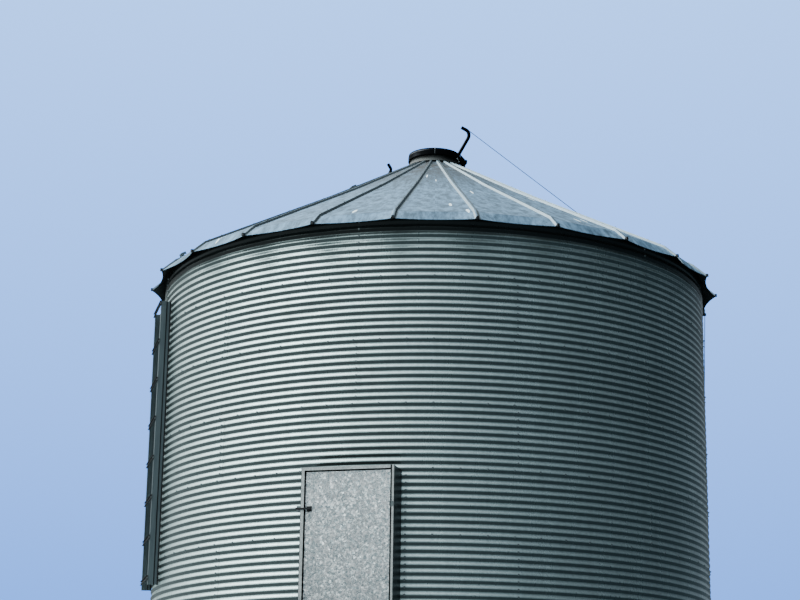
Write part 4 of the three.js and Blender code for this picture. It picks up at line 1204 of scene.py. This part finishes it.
def ladder_rungs():
    """The channel rungs, their lips turned out."""
    vertices, faces = [], []
    back, front = RAIL_FACE - 0.001, RAIL_FACE + 0.002
    for number in range(RUNG_COUNT):
        low = LOWEST_RUNG + number * RUNG_PITCH - RUNG_HEIGHT / 2
        high = low + RUNG_HEIGHT
        inside = (low + RAIL_SHEET, high - RAIL_SHEET)
        section = ((back, low), (RUNG_LIP, low), (RUNG_LIP, inside[0]), (front, inside[0]),
                   (front, inside[1]), (RUNG_LIP, inside[1]), (RUNG_LIP, high), (back, high))
        prism_between(vertices, faces, *[
            [at(LADDER_AZIMUTH, out, level, across) for out, level in section]
            for across in (RUNG_HALF_LENGTH, -RUNG_HALF_LENGTH)
        ])
    return vertices, faces


def ladder_shadow_strips():
    """Near-black strips painted as the shadow in the joint between the rails and their angles, and as the
    shadow on the wall along the angles' edge.
    """
    vertices, faces = [], []
    outer = RAIL_ACROSS - ANGLE_SET_BACK
    inner = RAIL_ACROSS - RAIL_FLANGE
    strip = ((outer, STRIP_BACK), (outer, RAIL_BACK), (inner, RAIL_BACK), (inner, STRIP_BACK))
    shadow_span = (ANGLE_BACK - 0.004, ANGLE_BACK + WALL_SHADOW_WIDTH)
    edge = ((outer + WALL_SHADOW_WIDTH, shadow_span[0]), (outer + WALL_SHADOW_WIDTH, shadow_span[1]), (outer - WALL_SHADOW_WIDTH, shadow_span[1]),
            (outer - WALL_SHADOW_WIDTH, shadow_span[0]))
    for side in (-1, 1):
        upright(vertices, faces, strip, side)
        upright(vertices, faces, edge, side)
    return vertices, faces


def ladder_bolts():
    """One bolt at each end of each rung."""
    vertices, faces = [], []
    for number in range(RUNG_COUNT):
        for side in (-1, 1):
            level = LOWEST_RUNG + number * RUNG_PITCH
            place = at(LADDER_AZIMUTH, RUNG_BOLT_OUT, level, side * RUNG_BOLT_ACROSS)
            bolt_shape(vertices, faces, place, outward(LADDER_AZIMUTH))
    return vertices, faces


ladder = new_object("ladder_bars", *ladder_bars(), [ladder_steel()])
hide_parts("wall_ladder")
for piece in (ladder, new_object("ladder_rungs", *ladder_rungs(), [black_steel_and_shadow]),
              new_object("ladder_shadow_strips", *ladder_shadow_strips(), [black_steel_and_shadow]),
              new_object("ladder_bolts", *ladder_bolts(), [bolt_steel])):
    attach(piece, "bin")

# Roof fittings, wire eye and cleat
# Small pressed brackets bolted on the ribs and the wall, and a bent hook to hold on to at the peak.

HOOK_AZIMUTH = -67.5
HOOK_RADIUS_OUT = 0.525
HOOK_BAR_RADIUS = 0.017
HOOK_BENDS = 0.018
# The points of the hook's bar, aside and up from its foot on the rib
HOOK_RISES = ((-0.015, -0.012), (0.008, 0.046), (-0.027, 0.108))

dress(bolt_steel, "roof_step_low", "roof_step_high", "wire_eye", "wire_cleat")
hook_foot = on_rib(HOOK_AZIMUTH, HOOK_RADIUS_OUT)
hook_route = rounded([hook_foot + Vector((aside, 0, rise)) for aside, rise in HOOK_RISES], HOOK_BENDS)
hook = tube("bent_hook", hook_route, HOOK_BAR_RADIUS, enamel)
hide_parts("grab_hook")
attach(hook, "bin")

# Pull wire
# Galvanised strand from the lever, over the roof and through the eye on a rib's end, down to the
# cleat.

WIRE_RADIUS = 0.004
WIRE_AZIMUTH = 97.5
WIRE_START = Vector((0.392, 0, 6.201))
EYE_OUT = 3.055
EYE_LEVEL = 4.262
CLEAT_OUT = 2.938
CLEAT_LEVEL = 0.8603
WIRE_STEPS = 60


def strand_steel():
    """Twisted galvanised wire: dull grey, with the dark lines of its lay."""
    material, shader, tree = new_material("twisted galvanised wire", 0.6, 0.6)
    position = node(tree, "NewGeometry").outputs["Position"]
    lay = node(tree, "TexWave", {"bands_direction": "DIAGONAL"}, Vector=position, Scale=60.0)
    colour = node(tree, "Mix", IN_COLOUR, i0=lay.outputs["Fac"], i6=linear("#59626B"), i7=linear("#7F8992"))
    feed(shader, {"Base Color": colour})
    return material


eye_point = at(WIRE_AZIMUTH, EYE_OUT, EYE_LEVEL)
cleat_point = at(WIRE_AZIMUTH, CLEAT_OUT, CLEAT_LEVEL)
wire_route = [WIRE_START.lerp(eye_point, i / WIRE_STEPS) for i in range(WIRE_STEPS)]
wire_route += [eye_point, cleat_point]
wire = tube("pull_wire", wire_route, WIRE_RADIUS, strand_steel(), 8)
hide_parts("lid_pull_wire")
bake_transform(wire)

# Floor
# Flat galvanised sheet inside the wall's foot, dusty with old grain.

# Plain galvanised sheet under a film of grain dust: matt, and patched with buff
dusty_floor = patchy_steel("dusty galvanised floor", 0.4, 0.6, "#6E7474", "#A89F8C", 4.0, 6.0)
dress(dusty_floor, "bin_floor")
